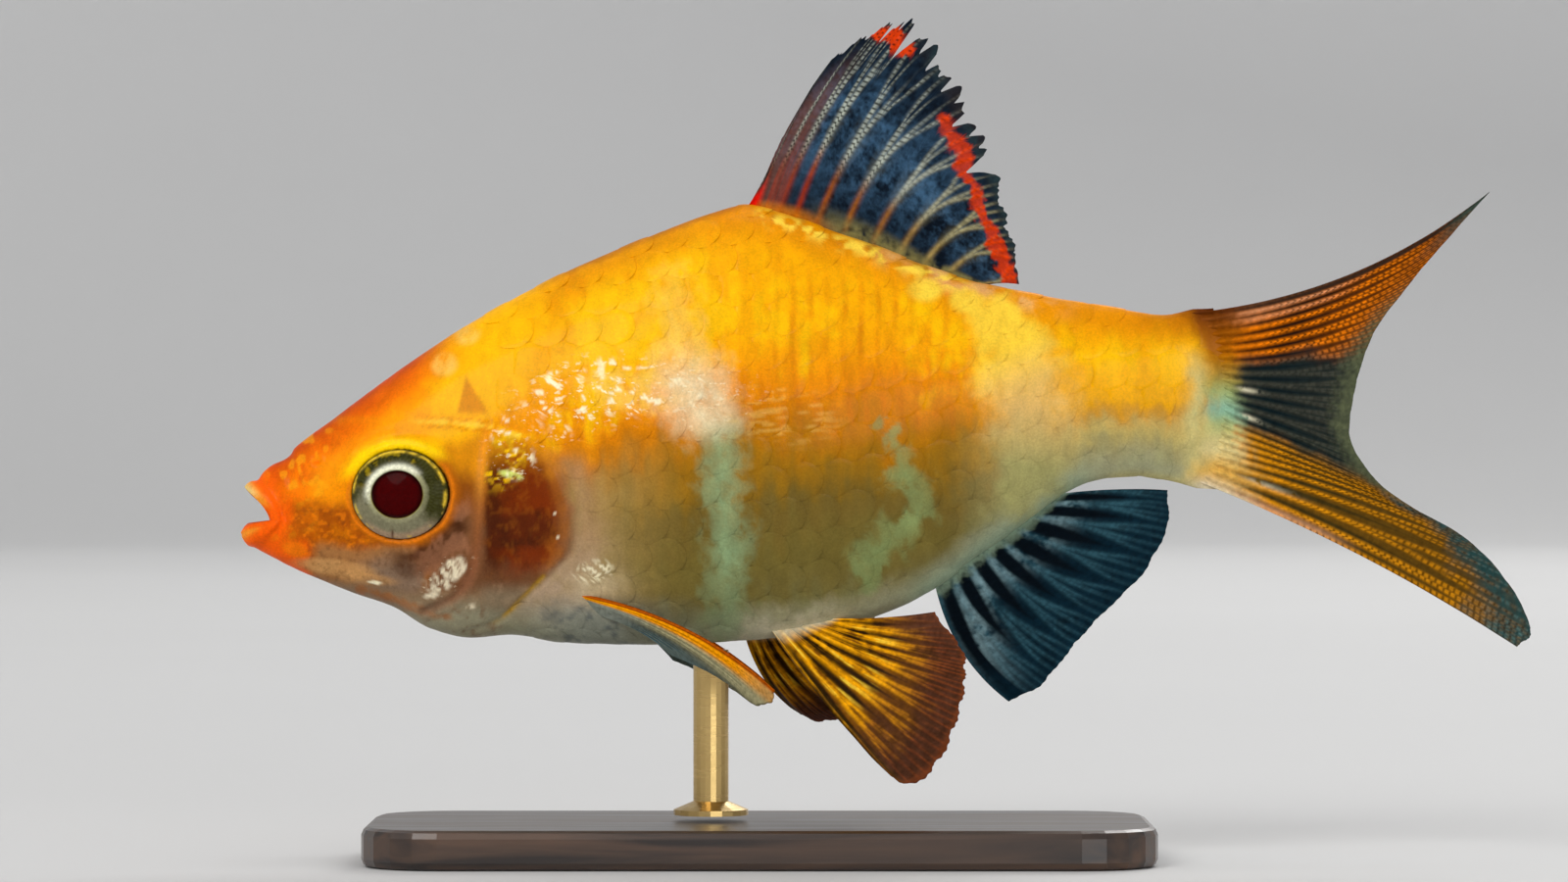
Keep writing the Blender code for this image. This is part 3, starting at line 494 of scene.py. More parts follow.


# Markings, and the glints, highlights and shade painted among them
def flank_colour(s, h):
    """The flank: gold above, olive below and darker there partly as painted shade, paler at the belly,
    the stalk and the fins' roots.
    """
    uneven, fine = mottle(s / 3.2, h / 3.2, 3), mottle(s / 0.7, h / 0.8, 4)
    streak = mottle(s / 0.6, h / 4.0, 5, 3)
    back, belly = smooth(BACK, s), smooth(BELLY, s)
    above = h - smooth(ORANGE_EDGE, s) + 0.7 * uneven + 0.35 * fine + 0.6 * streak
    stalk = soft(s, 35.5, 41.0)[..., None]
    coat = Coat(blend(FLANK_STOPS, above) * (1 - stalk) + blend(STALK_STOPS, above) * stalk)
    upper = soft(above, 1.0, 3.4)
    lines = soft(np.sin(2 * math.pi * (s / 0.86 + 0.12 * np.sin(h) + 0.05 * h)), 0.1, 0.9)
    ribs = lines * soft(h, 3.0, 5.5) * fade(h, 10, 13.5) * soft(s, 24, 28) * fade(s, 36, 40)
    coat.lay(STREAK, 0.4 * ribs * (1 + 0.8 * fine))
    coat.lay(STREAK, 0.3 * upper * soft(streak + 0.3 * fine, 0.2, 0.9))
    bright = soft(uneven + 0.5 * fine + 0.5 * streak + 0.5 * hump(s, 18.5, 4.0), -0.1, 0.9)
    coat.lay(BRIGHT_GOLD, 0.6 * upper * bright)
    front = fade(s, 17.5, 23.5) * fade(above, -1.2, 1.5)
    coat.lay(FRONT_TAN, 0.85 * front * (1 + 0.25 * fine))
    rose = fade(s, 16.5, 20.5) * fade(h, -3.0, 1.0)
    coat.lay(FRONT_ROSE, 0.7 * rose * (1 + 0.4 * fine))
    coat.lay(BACK_ORANGE, 0.7 * soft(h, back - 2.6, back - 0.6) * upper)
    coat.lay(BACK_EDGE, 0.5 * soft(h, back - 0.5, back) * fade(s, 25, 27))
    coat.lay(BACK_EDGE, 0.7 * soft(h, back - 1.9, back - 0.1) * soft(s, 44, 50))
    low = fade(h - 0.25 * fine, belly + 0.2, belly + 2.1)
    coat.lay(BELLY_PALE, 0.85 * low)
    coat.lay(BELLY_WHITE, low * hump(s, 28.0, 3.2) * (0.8 + 0.4 * fine))
    chest = hump(s, 18.2, 3.4) * fade(h, -5.4, -4.0)
    coat.lay(CHEST, 0.85 * chest)
    coat.lay(CHEST_DARK, 0.7 * chest * soft(mottle(s / 0.6, h / 0.5, 9), 0.1, 0.8))
    pale = hump(np.hypot((s - 18.5) / 1.3, (h + 3.9) / 0.8), 0, 1)
    coat.lay(FRONT_PALE, 0.7 * pale * (1 + 0.5 * fine))
    root = hump(h, belly, 0.9) * soft(s, 33, 35.5) * fade(s, 42, 44)
    coat.lay(ROOT_CYAN, 0.8 * root)
    rim = soft(s, 43.5, 45) * hump(h, belly, 0.3)
    coat.lay(CREAM, 0.6 * rim)
    sheath = soft(s, 31.0, 34.0) * fade(s, 40, 43) * soft(h, back - 1.5, back - 0.2)
    coat.lay(PALE_WHITE, 0.35 * sheath * soft(fine, -0.5, 0.5))
    dorsal = soft(s, 26.2, 26.8) * fade(s, 35, 38) * soft(h, back - 0.8, back - 0.1)
    coat.lay(SHEATH_DARK, 0.55 * dorsal * fade(fine, -0.6, 0.2))
    for centre in ((34.9, 11.2), (37.0, 10.6)):
        coat.lay(PALE_YELLOW, 0.8 * spot(s, h, *centre, 0.9, 0.65) * (1 + 0.3 * fine))
    glints = soft(mottle(s / 0.5, h / 0.35, 12, 2), -0.15, 0.4)
    near = soft(s, 26.0, 26.8) * fade(s, 36, 38) * hump(h, back - 0.5, 0.42)
    return coat.lay(DORSAL_GLINT, 0.9 * near * glints)


def add_bars(coat, s, h):
    """The pale bars that this golden form has in place of black ones."""
    uneven, fine = mottle(s / 1.5, h / 1.5, 11), mottle(s / 0.45, h / 0.6, 14)
    wedge = spot(s, h, 20.4, 6.0, 3.0, 1.1, -0.6) * soft(uneven + fine, -1.2, 0.6)
    coat.lay(PALE_PINK, 0.5 * wedge)
    gap, share = line_distance(BAR_ONE, s, h)
    width = smooth(BAR_ONE_WIDTH, share)
    body = fade(gap + 0.5 * uneven + 0.65 * fine, 0.1 * width, 1.4 * width)
    strength = smooth(BAR_ONE_STRENGTH, share)
    coat.lay(blend(BAR_ONE_STOPS, share), body * strength * (1 + 0.4 * fine))
    hairs = soft(mottle(s / 1.2, (h - 0.12 * s) / 0.09, 87, 2), 0.2, 0.8)
    coat.lay(PALE_PINK, 0.3 * hairs * spot(s, h, 27.6, 4.8, 3.2, 1.6))
    gap, share = line_distance(BAR_TWO, s, h)
    width = smooth(BAR_TWO_WIDTH, share)
    body = fade(gap + 0.5 * uneven + 0.5 * fine, 0.3 * width, 1.3 * width)
    hole = soft(np.hypot((s - 33.4) / 0.55, (h - 0.2) / 0.9) + 0.3 * fine, 0.7, 1.2)
    coat.lay(PALE_GREEN, 0.65 * hole * body * (1 + 0.3 * fine))
    gap, share = line_distance(BAR_THREE, s, h)
    width = smooth(BAR_THREE_WIDTH, share)
    body = fade(gap + 0.6 * uneven + 0.3 * fine, 0.4 * width, 1.3 * width)
    coat.lay(blend(BAR_THREE_STOPS, share), 0.8 * body)
    edge = TAIL_BAND_S - 0.25 * np.abs(h - 5.6) ** 0.5 + 0.35 * uneven
    band = hump(s, edge, 0.7) * soft(h, 0.9, 1.8) * fade(h, 6.8, 8.6)
    coat.lay(CREAM, 0.85 * band * (1 + 0.3 * fine))
    down = (TAIL_ROOT_TOP - h) / (TAIL_ROOT_TOP - TAIL_ROOT_BOTTOM)
    near = soft(s - smooth(TAIL_ARC, h) + 0.3 * fine, -2.1, -0.7)
    return coat.lay(blend(TAIL_ROOT_STOPS, down), near)


def head_colour(s, h):
    """Orange-red at the snout, gold on the nape, and a tan cheek that shades to grey below."""
    uneven, fine = mottle(s / 1.6, h / 1.6, 21), mottle(s / 0.55, h / 0.55, 24)
    grit = mottle(s / 0.2, h / 0.2, 28, 3)
    depth = smooth(BACK, s) - h
    depth = depth + 0.35 * uneven * soft(depth, 0.1, 1.0)
    coat = Coat(blend(HEAD_STOPS, s + 0.7 * uneven))
    coat.lay(STREAK, 0.3 * soft(fine, 0.1, 0.9) * fade(s, 7.0, 10.5))
    top = fade(depth, 1.5, 3.0) * fade(s, 8.5, 12.5)
    coat.lay(blend(TOP_STOPS, depth), top)
    coat.lay(SNOUT_RED, 0.35 * top * soft(fine, -0.1, 0.8) * fade(s, 6.0, 9.0))
    blush = spot(s, h, 2.3, 1.9, 1.3, 0.8, -0.8) * soft(fine, -0.6, 0.3)
    coat.lay(SNOUT_RED, 0.35 * blush)
    gilt = soft(mottle(s / 0.45, h / 0.45, 25, 2), 0.2, 0.7) * fade(s, 4.0, 5.5)
    coat.lay(MUZZLE_YELLOW, 0.5 * gilt)
    muzzle = fade(h - 0.25 * uneven, -0.3, 0.8) * soft(s, 1.8, 3.0)
    coat.lay(MUZZLE_BROWN, 0.9 * muzzle * (1 + 0.3 * fine))
    flecks = soft(mottle(s / 0.3, h / 0.22, 26, 2), 0.2, 0.7)
    coat.lay(JAW_ORANGE, 0.45 * muzzle * flecks)
    chin = fade(h, -2.0, -1.2) * fade(s + 0.2 * uneven, 3.3, 3.9)
    coat.lay(LIP_RED, 0.9 * chin)
    coat.lay(JAW_ORANGE, 0.6 * chin * spot(s, h, 2.9, -2.0, 0.7, 0.5, -0.5))
    tan = fade(h - 0.3 * uneven, -2.2, -1.4) * soft(s + 0.2 * uneven, 3.4, 4.3)
    coat.lay(CHEEK_TAN, tan)
    coat.lay(CHEEK_GREY, fade(h - 0.3 * uneven, -3.0, -2.0) * soft(s, 5.4, 7.2))
    pale = spot(s, h, 4.9, -2.95, 1.9, 0.5, -1.9) + 0.7 * spot(s, h, 6.6, -3.55, 1.4, 0.35, -1.8)
    coat.lay(THROAT_PALE, 0.9 * pale * (1 + 0.3 * fine))
    behind = soft(s - 0.1 * h, 9.6, 10.5)
    coat.lay(TEMPLE, 0.8 * behind * fade(h + 0.4 * uneven, 3.3, 4.3))
    coat.lay(TEMPLE_DARK, behind * fade(h - 0.4 * uneven, 1.2, 2.6))
    coat.lay(CHEEK_ROSE, behind * fade(h - 0.4 * uneven, -0.6, 1.0))
    wedge = soft(0.44 * (6.8 - h) - np.abs(s - 13.0 + 0.2 * h), -0.12, 0.15) * soft(h, 4.7, 5.1)
    coat.lay(TEMPLE, 0.85 * wedge)
    # Painted highlights: two pale spots on the nape
    for centre in ((11.6, 9.0), (10.5, 7.4)):
        coat.lay(PALE_PINK, 0.6 * spot(s, h, *centre, 0.7, 0.6) * soft(fine, -1.3, 0.2))
    gap, _ = line_distance(UNDER_EYE, s, h)
    dark = fade(gap + 0.25 * uneven + 0.2 * fine, 0.3, 1.05) * soft(s, 7.2, 9.0)
    coat.lay(CHEEK_DARK, 0.9 * dark * (1 + 0.35 * fine))
    lilac = soft(mottle(s / 0.6, h / 0.9, 29, 3), -0.2, 0.5) * soft(s, 8.6, 9.8) * fade(s, 11.6, 12.4)
    coat.lay(CHEEK_LILAC, 0.45 * lilac * fade(h, 0.0, 1.2) * soft(h, -4.6, -3.8))
    speckle = soft(grit, 0.15, 0.7) * fade(h, -0.4, 0.9) * soft(s, 2.6, 3.8) * fade(s, 9, 11.5)
    coat.lay(CHEEK_DARK, 0.3 * speckle)
    coat.lay(THROAT, fade(h - 0.3 * uneven, -4.4, -3.7))
    # Painted light: the pale grey under the cheek
    coat.lay(THROAT_GREY, fade(h - 0.4 * uneven, -5.2, -4.1) * soft(s, 7, 10))
    mark = soft(mottle(s / 0.5, h / 0.3, 33), 0.15, 0.8) * fade(h, -4.6, -3.6) * soft(s, 8, 11)
    coat.lay(CHEEK_ROSE, 0.5 * mark)
    jaw, _ = line_distance(JAW_LINE, s, h)
    coat.lay(ORBIT_ORANGE, 0.5 * hump(jaw + 0.2 * fine, 0.0, 0.2))
    gill_paint(coat, s, h, uneven, fine)
    return ring_of_eye(coat, s, h, fine)


def gill_paint(coat, s, h, uneven, fine):
    """The dark gill that shows through its cover, the ridges round it and its glints."""
    gill = soft(s + 0.2 * fine, 12.35, 13.0) * soft(h + 0.3 * fine, -3.8, -2.2)
    gill = gill * fade(h - 0.4 * uneven, 1.8, 4.0)
    ahead = smooth(GILL_REAR, h) - s
    gill = gill * soft(ahead + 0.25 * uneven + 0.15 * fine, 0.0, 1.0)
    stops = ((12.6, GILL_DARK), (14.4, GILL_RUST), (15.8, GILL_RUST), (17.0, GILL_ORANGE))
    inner = blend(stops, s + 0.7 * uneven + 0.5 * fine)
    shade = 0.7 * spot(s, h, 14.6, -1.0, 2.2, 1.0, 0.4) + 0.5 * soft(fine, 0.1, 0.9)
    inner = lay(inner, GILL_DARK, shade)
    inner = lay(inner, GILL_ORANGE, 0.25 * soft(mottle(s / 0.3, h / 0.4, 34, 3), 0.1, 0.8))
    low = soft(s, 12.0, 12.9) * fade(h - 0.3 * fine, -2.6, -1.4) * soft(h, -5.6, -4.4)
    coat.lay(GILL_LOW, 0.85 * low)
    coat.lay(GILL_PINK, 0.55 * soft(uneven + 0.5 * fine, 0.1, 0.9) * low)
    # Painted light: the pale grey low on the gill cover
    coat.lay(THROAT_GREY, 0.4 * low * fade(h, -4.4, -3.4))
    coat.lay(inner, 0.95 * gill)
    rim = hump(ahead, 0.3, 0.45) * soft(h, -3.8, -2.0) * fade(h, 2.0, 3.4)
    coat.lay(GILL_ORANGE, 0.45 * rim * (1 + 0.6 * fine))
    ridge, share = line_distance(PREOPERCLE, s, h)
    coat.lay(blend(RIDGE_STOPS, share), 0.85 * hump(ridge, 0.0, 0.27))
    canal, _ = line_distance(CANAL, s, h)
    canal = canal + 0.1 * fine
    coat.lay(STREAK, 0.6 * hump(canal, 0.24, 0.1) * soft(s, 9.0, 10.0))
    coat.lay(PALE_YELLOW, 0.8 * hump(canal, 0.0, 0.1) * soft(s, 8.6, 9.6))
    fold, share = line_distance(GILL_FOLD, s, h)
    gilt = 0.9 * hump(fold, 0.0, 0.13) * fade(share, 0.5, 0.8) * soft(fine, -0.7, 0.2)
    coat.lay(GILL_GOLD, gilt)
    # Painted glints: golden ones on top of the gill cover, a pale yellow and a green one beside them,
    # and two small white ones further back
    area = spot(s, h, 13.6, 2.5, 1.1, 1.5, 0.3) * soft(s, 12.5, 12.9)
    coat.lay(GILL_GOLD, 0.75 * area * soft(mottle(s / 0.35, h / 0.3, 37, 3), -0.1, 0.5))
    coat.lay(BRIGHT_GOLD, 0.9 * area * soft(mottle(s / 0.3, h / 0.2, 39, 2), 0.4, 0.7))
    coat.lay(PALE_YELLOW, spot(s, h, 14.1, 3.8, 0.45, 0.16) * soft(fine, -0.7, 0.1))
    coat.lay(GREEN_GLINT, spot(s, h, 14.0, 1.8, 0.5, 0.24, -1.4) * soft(fine, -0.9, -0.1))
    for centre in ((16.2, -0.1), (16.35, -1.3)):
        coat.lay(GLINT, 0.6 * spot(s, h, *centre, 0.09, 0.08))
    # Painted reflections: streaky white glints on the cheek, and a small white one further forward
    glints = soft(mottle((s + 0.8 * h) / 0.2, (h - 0.8 * s) / 0.9, 45, 4), -0.6, 0.25)
    for centre_s, centre_h, wide, high in CHEEK_GLINTS:
        leaning = spot(s, h, centre_s, centre_h, wide, high, 0.7)
        coat.lay(CHEEK_GLINT_WHITE, 0.95 * glints * leaning)
    coat.lay(GLINT, spot(s, h, 6.95, -3.72, 0.34, 0.1, -1.6))


def ring_of_eye(coat, s, h, fine):
    """The skin round the eye: a yellow crescent over it and an orange rim behind and below."""
    ring = orbit_share(s, h) + 0.02 * fine
    rear = soft(s - 0.9 * h, 5.6, 8.0)
    coat.lay(ORBIT_ORANGE, 0.9 * hump(ring, 1.1, 0.1) * rear)
    coat.lay(GILL_ORANGE, 0.4 * hump(ring, 1.03, 0.03))
    under = fade(h - 0.25 * (s - EYE_S), 1.4, 2.4)
    coat.lay(EYE_ORANGE, 0.75 * hump(ring, 1.08, 0.032) * under)
    crescent = fade(ring, 1.2, 1.42) * soft(h - 0.2 * (s - EYE_S), 1.8, 2.8)
    return coat.lay(ORBIT_YELLOW, crescent * (1 - 0.4 * hump(ring, 1.3, 0.08)))


def mouth_paint(coat, s, h, rings):
    """Lips with pale tips round a mouth darkened by painted shade; rings is 0 far inside and 1 where the
    lips end.
    """
    upper, lower = soft(h, -0.1, 0.5), fade(h, -1.1, -0.7)
    coat.lay(LIP_RED, fade(rings, 0.9, 1.3))
    coat.lay(LIP_TIP, 0.8 * lower * hump(rings, 0.57, 0.05))
    coat.lay(LIP_TIP, 0.8 * upper * hump(rings, 0.58, 0.15))
    coat.lay(LIP_PALE, 0.95 * soft(h, 0.5, 1.0) * hump(rings, 0.55, 0.09))
    # Painted shade over the red inside of the mouth
    return coat.lay(MOUTH_SHADED_RED, fade(rings, 0.38, 0.5))


def glint_share(s, h):
    """How thickly tiny painted glints lie: over the shoulder, on the cheek and on top of the gill."""
    uneven = mottle(s / 1.1, h / 1.1, 81)
    total = np.maximum.reduce([strength * spot(s, h, *place) for strength, *place in GLINT_AREAS])
    return np.clip(total * (0.75 + 0.5 * uneven), 0, 1)


def skin_colour(s, h):
    """The fish's markings, with the glints and highlights painted among them, alike on both sides."""
    s, h = np.asarray(s, float), np.asarray(h, float)
    flank = add_bars(Coat(flank_colour(s, h)), s, h)
    fine = mottle(s / 0.8, h / 0.8, 51)
    ahead = soft(smooth(GILL_REAR, h) - s + 0.15 * fine, -0.5, 0.3) * fade(h, 4.0, 6.0)
    nape = fade(s - 0.35 * (h - 6) - 0.8 * fine, 12.0, 15.4) * soft(h, 4.0, 5.0)
    coat = Coat(flank + (head_colour(s, h) - flank) * np.maximum(ahead, nape)[..., None])
    shoulder = hump(s, smooth(GILL_REAR, h) + 0.8, 0.9) * soft(h, -4.5, -1.0) * fade(h, 2.0, 3.4)
    coat.lay(GILL_PINK, 0.45 * shoulder * (1 + 0.4 * fine))
    # Painted reflection: a streaky white flash low on the shoulder
    streaks = soft(mottle((s - 0.9 * h) / 0.9, (h + 0.9 * s) / 0.12, 85, 2), 0.0, 0.5)
    coat.lay(GLINT, 0.8 * streaks * spot(s, h, 18.1, -3.1, 0.95, 0.62, 0.5))
    # Painted glints, larger ones, over the shoulder, the cheek and the top of the gill
    bright = soft(mottle(s / 0.42, h / 0.3, 83, 2), 0.5, 0.68) * soft(glint_share(s, h), 0.3, 0.8)
    return coat.lay(GLINT, 0.85 * bright)


# Pieces from grids of points
def add_object(name, data, place=(0, 0, 0)):
    """A new object in the scene."""
    made = bpy.data.objects.new(name, data)
    made.location = place
    bpy.context.scene.collection.objects.link(made)
    return made


def mesh_piece(name, points, faces, colours, material, nodes=()):
    """A riding piece of the scene from fish points in millimetres, quads and point colours."""
    mesh = bpy.data.meshes.new(name)
    mesh.from_pydata(to_world(points).tolist(), [], faces.tolist())
    paint = mesh.color_attributes.new("Paint", "FLOAT_COLOR", "POINT")
    if colours.shape[1] == 3:
        colours = np.concatenate([colours, np.zeros((len(colours), 1))], axis=1)
    paint.data.foreach_set("color", colours.astype(np.float32).ravel())
    mesh.materials.append(material)
    mesh.shade_smooth()
    made = add_object(name, mesh)
    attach(made, BODY)
    if nodes:
        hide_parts(*nodes)
    return made


def grid_faces(rows, columns, wrap=False):
    """Quads of a grid of rows by columns of points, in the order of its points."""
    i = np.arange(rows - 1)[:, None]
    j = np.arange(columns if wrap else columns - 1)[None, :]
    following = (j + 1) % columns
    corners = (i * columns + j, i * columns + following)
    upper = ((i + 1) * columns + following, (i + 1) * columns + j)
    return np.stack([*corners, *upper], axis=-1).reshape(-1, 4)


def closed_sheet(rows, columns):
    """Faces that close two grids of points, the second behind the first, round their rims."""
    quads = grid_faces(rows, columns)
    size = rows * columns
    index = np.arange(size).reshape(rows, columns)
    loop = np.concatenate([index[0, :-1], index[:-1, -1], index[-1, :0:-1], index[:0:-1, 0]])
    following = np.roll(loop, -1)
    rim = np.stack([loop, following, following + size, loop + size], axis=-1)
    return np.concatenate([quads[:, ::-1], quads + size, rim])


def add_map(made, name, pairs):
    """A UV map with one pair of coordinates for each point."""
    corners = np.empty(len(made.data.loops), np.int32)
    made.data.loops.foreach_get("vertex_index", corners)
    drawn = made.data.uv_layers.new(name=name)
    drawn.data.foreach_set("uv", pairs[corners].astype(np.float32).ravel())


# Heights and depths of the skin's relief, and the grooves' lines with their depths and half widths
SKIN_UNEVEN, EYE_RIDGE, EYE_GROOVE, EYE_HOLE = 0.012, 0.07, 0.04, 0.85
GILL_PLATE, GILL_GROOVE, NOSTRIL_DEPTH, NOSTRIL_RIDGE = 0.11, 0.06, 0.2, 0.05
GROOVES = ((MAXILLA, 0.05, 0.16), (CANAL, -0.03, 0.1), (GILL_FOLD, 0.1, 0.15))


# Skin
def relief(s, h):
    """How far the skin stands out of its smooth form at (s, h)."""
    ring = orbit_share(s, h)
    rise = -SKIN_INSET + SKIN_UNEVEN * mottle(s / 1.4, h / 1.4, 31)
    rise = rise + EYE_RIDGE * hump(ring, 1.09, 0.06) - EYE_GROOVE * hump(ring, 1.24, 0.05)
    rise = rise - EYE_HOLE * fade(ring, 0.96, 1.0)
    ahead = smooth(GILL_REAR, h) - s
    plate = soft(h, -5.6, -4.6) * fade(h, 3.8, 4.6)
    rise = rise + plate * GILL_PLATE * soft(ahead, -0.15, 0.35) * soft(s, 12.4, 13.0)
    rise = rise - plate * GILL_GROOVE * hump(ahead, -0.2, 0.2)
    ridge, _ = line_distance(PREOPERCLE, s, h)
    rise = rise - 0.06 * hump(ridge, 0.0, 0.13) + 0.05 * hump(ridge, 0.35, 0.18)
    for line, depth, half in GROOVES:
        gap, _ = line_distance(line, s, h)
        rise = rise - depth * hump(gap, 0.0, half)
    gap = np.hypot(s - NOSTRIL[0], h - NOSTRIL[1])
    rise = rise - NOSTRIL_DEPTH * hump(gap, 0.0, 0.13)
    return rise + NOSTRIL_RIDGE * hump(gap, 0.34, 0.1) * soft(h - s, -2.0, -1.4)


def skin_grid():
    """Rings of the skin from inside the mouth to the tail fin, as a grid of (s, y, h)."""
    even = np.linspace(0, 2 * math.pi, AROUND + 1)[None, :]
    angle = even - SIDE_DENSITY * np.sin(2 * even)
    rising = np.sin(angle) >= 0
    place = np.linspace(0, len(MOUTH_RINGS) - 1, MOUTH_STEPS)[:, None]
    numbers = np.array([[*upper, *side, *lower] for upper, side, lower in MOUTH_RINGS])
    columns = [smooth(list(enumerate(column)), place) for column in numbers.T]
    upper_s, upper_h, side_s, side_h, side_w, lower_s, lower_h = columns
    y, h, up = spread(side_h, side_w, (upper_h, lower_h), angle, 2.0, 2.0)
    end_s = np.where(rising, upper_s, lower_s)
    up = up ** np.where(rising, LIP_CURVE, 1.0)
    mouth = np.stack([side_s + (end_s - side_s) * up, y, h], axis=-1)
    starts = numbers[-1][[2, 0, 5]]
    share = np.linspace(0, 1, FACE_STEPS)[1:, None]
    side_s, upper_s, lower_s = (start + (FACE_END - start) * share for start in starts)
    ends = smooth(BACK, upper_s), smooth(BELLY, lower_s)
    width = numbers[-1][4] + (smooth(HALF_WIDTH, side_s) - numbers[-1][4]) * soft(share, 0, 0.15)
    powers = smooth(BACK_ROUNDNESS, side_s), smooth(BELLY_ROUNDNESS, side_s)
    y, h, up = spread(smooth(WIDEST_LEVEL, side_s), width, ends, angle, *powers)
    end_s = np.where(rising, upper_s, lower_s)
    up = up ** np.where(rising, LIP_CURVE + (1 - LIP_CURVE) * share, 1.0)
    face = np.stack([side_s + (end_s - side_s) * up, y, h], axis=-1)
    fine = np.linspace(FACE_END, FINE_END, FINE_STEPS + 1)[1:]
    rest = np.linspace(FINE_END, BODY_END, BODY_STEPS + 1)[1:]
    body = np.stack(body_point(np.concatenate([fine, rest])[:, None], angle), axis=-1)
    return np.concatenate([mouth, face, body])


def make_skin(material):
    """One skin over head, gill covers, trunk and tail stalk, open at the mouth and round the eyes."""
    grid = skin_grid()
    ring = orbit_share(grid[..., 0], grid[..., 2])
    flush = EYE_RIM_Y + EYE_LIP + (grid[..., 0] - EYE_S) * math.tan(EYE_TURN)
    pull = 0.9 * fade(ring, 1.06, 1.5)
    grid[..., 1] += np.sign(grid[..., 1]) * (flush - np.abs(grid[..., 1])) * pull
    normal = -grid_normals(grid)
    s, h = grid[..., 0], grid[..., 2]
    rings = np.arange(len(grid))[:, None] / MOUTH_STEPS * np.ones_like(s)
    inside = np.arange(len(grid))[:, None] < MOUTH_STEPS * MOUTH_INSIDE
    rise = np.where(inside, 0.0, relief(s, h))
    grid = grid + normal * rise[..., None]
    colour = mouth_paint(Coat(skin_colour(s, h)), s, h, rings)
    # The Paint alpha holds how thickly the painted glints lie
    colour = np.concatenate([colour, glint_share(s, h)[..., None]], axis=-1)
    rows = len(grid)
    made = mesh_piece(
        "skin", grid[:, :-1].reshape(-1, 3), grid_faces(rows, AROUND, wrap=True)[:, ::-1],
        colour[:, :-1].reshape(-1, 4), material,
        ("head", "gill_cover_left", "gill_cover_right", "trunk", "tail_stalk"),
    )
    close_ends(made, rows)


def close_ends(made, rows):
    """Close the first and the last ring of the skin, one deep in the mouth and one in the tail fin."""
    form = bmesh.new()
    form.from_mesh(made.data)
    form.verts.ensure_lookup_table()
    form.faces.new([form.verts[k] for k in range(AROUND)])
    form.faces.new([form.verts[(rows - 1) * AROUND + k] for k in reversed(range(AROUND))])
    bmesh.ops.recalc_face_normals(form, faces=form.faces)
    for face in form.faces:
        face.smooth = True
    form.to_mesh(made.data)
    form.free()


# Scales, in rows from the lateral line, on sheets of rows below and above it
SCALE_START, SCALE_END, STEEPEST = 10.5, BODY_END - 0.4, math.radians(84)
SCALE_PITCH, ROW_PITCH = 1.72, 1.7
GILL_GAP, NAPE_GAP, NAPE_START = 0.55, 0.35, 4.2
SCALE_LENGTH, SCALE_LEAD, SCALE_HALF = 1.2 * SCALE_PITCH, 0.52 * SCALE_PITCH, 0.57 * ROW_PITCH
SCALE_THICKNESS, EDGE_ANGLE, SCALE_RISE_END = 0.02, math.radians(50), (47.5, 50.5)
SCALE_SINK, SCALE_RISE, SCALE_EDGE_DROP, SCALE_ROOT_DROP = 0.035, 0.032, 0.016, 0.06
SCALE_SHEETS, SCALE_COLUMNS = {"lower": range(-8, 1), "upper": range(1, 10)}, range(0, 26)
PATCH_ALONG, PATCH_ACROSS = 17, 14
BAKE_MAP, BAKE_PATCH = "OFBake", 0.003
MAP_LENGTH, MAP_HALF = 55, 16
GIRTH_START, GIRTH_REACH, STATION_STEP, DISTANCE_STEP = 9.0, 15.0, 0.25, 0.05
NORMAL_REACH = 0.05


class Girth:
    """Finds the angle round the body at a distance up or down from the lateral line."""

    def __init__(self):
        self.stations = np.arange(GIRTH_START, BODY_END + 0.01, STATION_STEP)
        self.distances = np.arange(-GIRTH_REACH, GIRTH_REACH + 0.01, DISTANCE_STEP)
        angle = np.radians(np.arange(-170, 170.5, 1.0))
        quarter = np.abs(angle) < math.pi / 2
        rows = []
        for s in self.stations:
            _, y, h = body_point(np.full(angle.shape, s), angle)
            run = np.concatenate([[0], np.cumsum(np.hypot(np.diff(y), np.diff(h)))])
            run = run - np.interp(0, angle, run)
            start = np.interp(smooth(LATERAL, s), h[quarter], run[quarter])
            rows.append(np.interp(self.distances + start, run, angle))
        self.table = np.array(rows)

    def angle(self, s, d):
        i = np.clip((s - self.stations[0]) / STATION_STEP, 0, len(self.stations) - 1.001)
        j = np.clip((d - self.distances[0]) / DISTANCE_STEP, 0, len(self.distances) - 1.001)
        i0, j0 = i.astype(int), j.astype(int)
        a, b = i - i0, j - j0
        low = self.table[i0, j0] * (1 - b) + self.table[i0, j0 + 1] * b
        high = self.table[i0 + 1, j0] * (1 - b) + self.table[i0 + 1, j0 + 1] * b
        return low * (1 - a) + high * a

    def point(self, s, d, side):
        place, y, h = body_point(s, self.angle(s, d))
        return np.stack([place, side * y, h], axis=-1)

    def normal(self, s, d, side):
        along = self.point(s + NORMAL_REACH, d, side) - self.point(s - NORMAL_REACH, d, side)
        across = self.point(s, d + NORMAL_REACH, side) - self.point(s, d - NORMAL_REACH, side)
        out = np.cross(along, across) * side * -1
        return out / np.maximum(np.linalg.norm(out, axis=-1, keepdims=True), 1e-9)


def scale_places(girth, rows):
    """(s, d) of the middle of each scale on one side, behind the gill cover and the nape."""
    found = []
    for row in rows:
        for column in SCALE_COLUMNS:
            s = SCALE_START + SCALE_PITCH * (column + 0.5 * (row % 2))
            d = ROW_PITCH * row
            if s > SCALE_END:
                continue
            angle = float(girth.angle(np.array(s), np.array(d)))
            if abs(angle) > STEEPEST:
                continue
            _, _, h = body_point(np.array(s), np.array(angle))
            front = float(smooth(GILL_REAR, h)) + (GILL_GAP if h < NAPE_START else NAPE_GAP)
            if s - 0.35 * SCALE_PITCH > front:
                found.append((s, d))
    return found


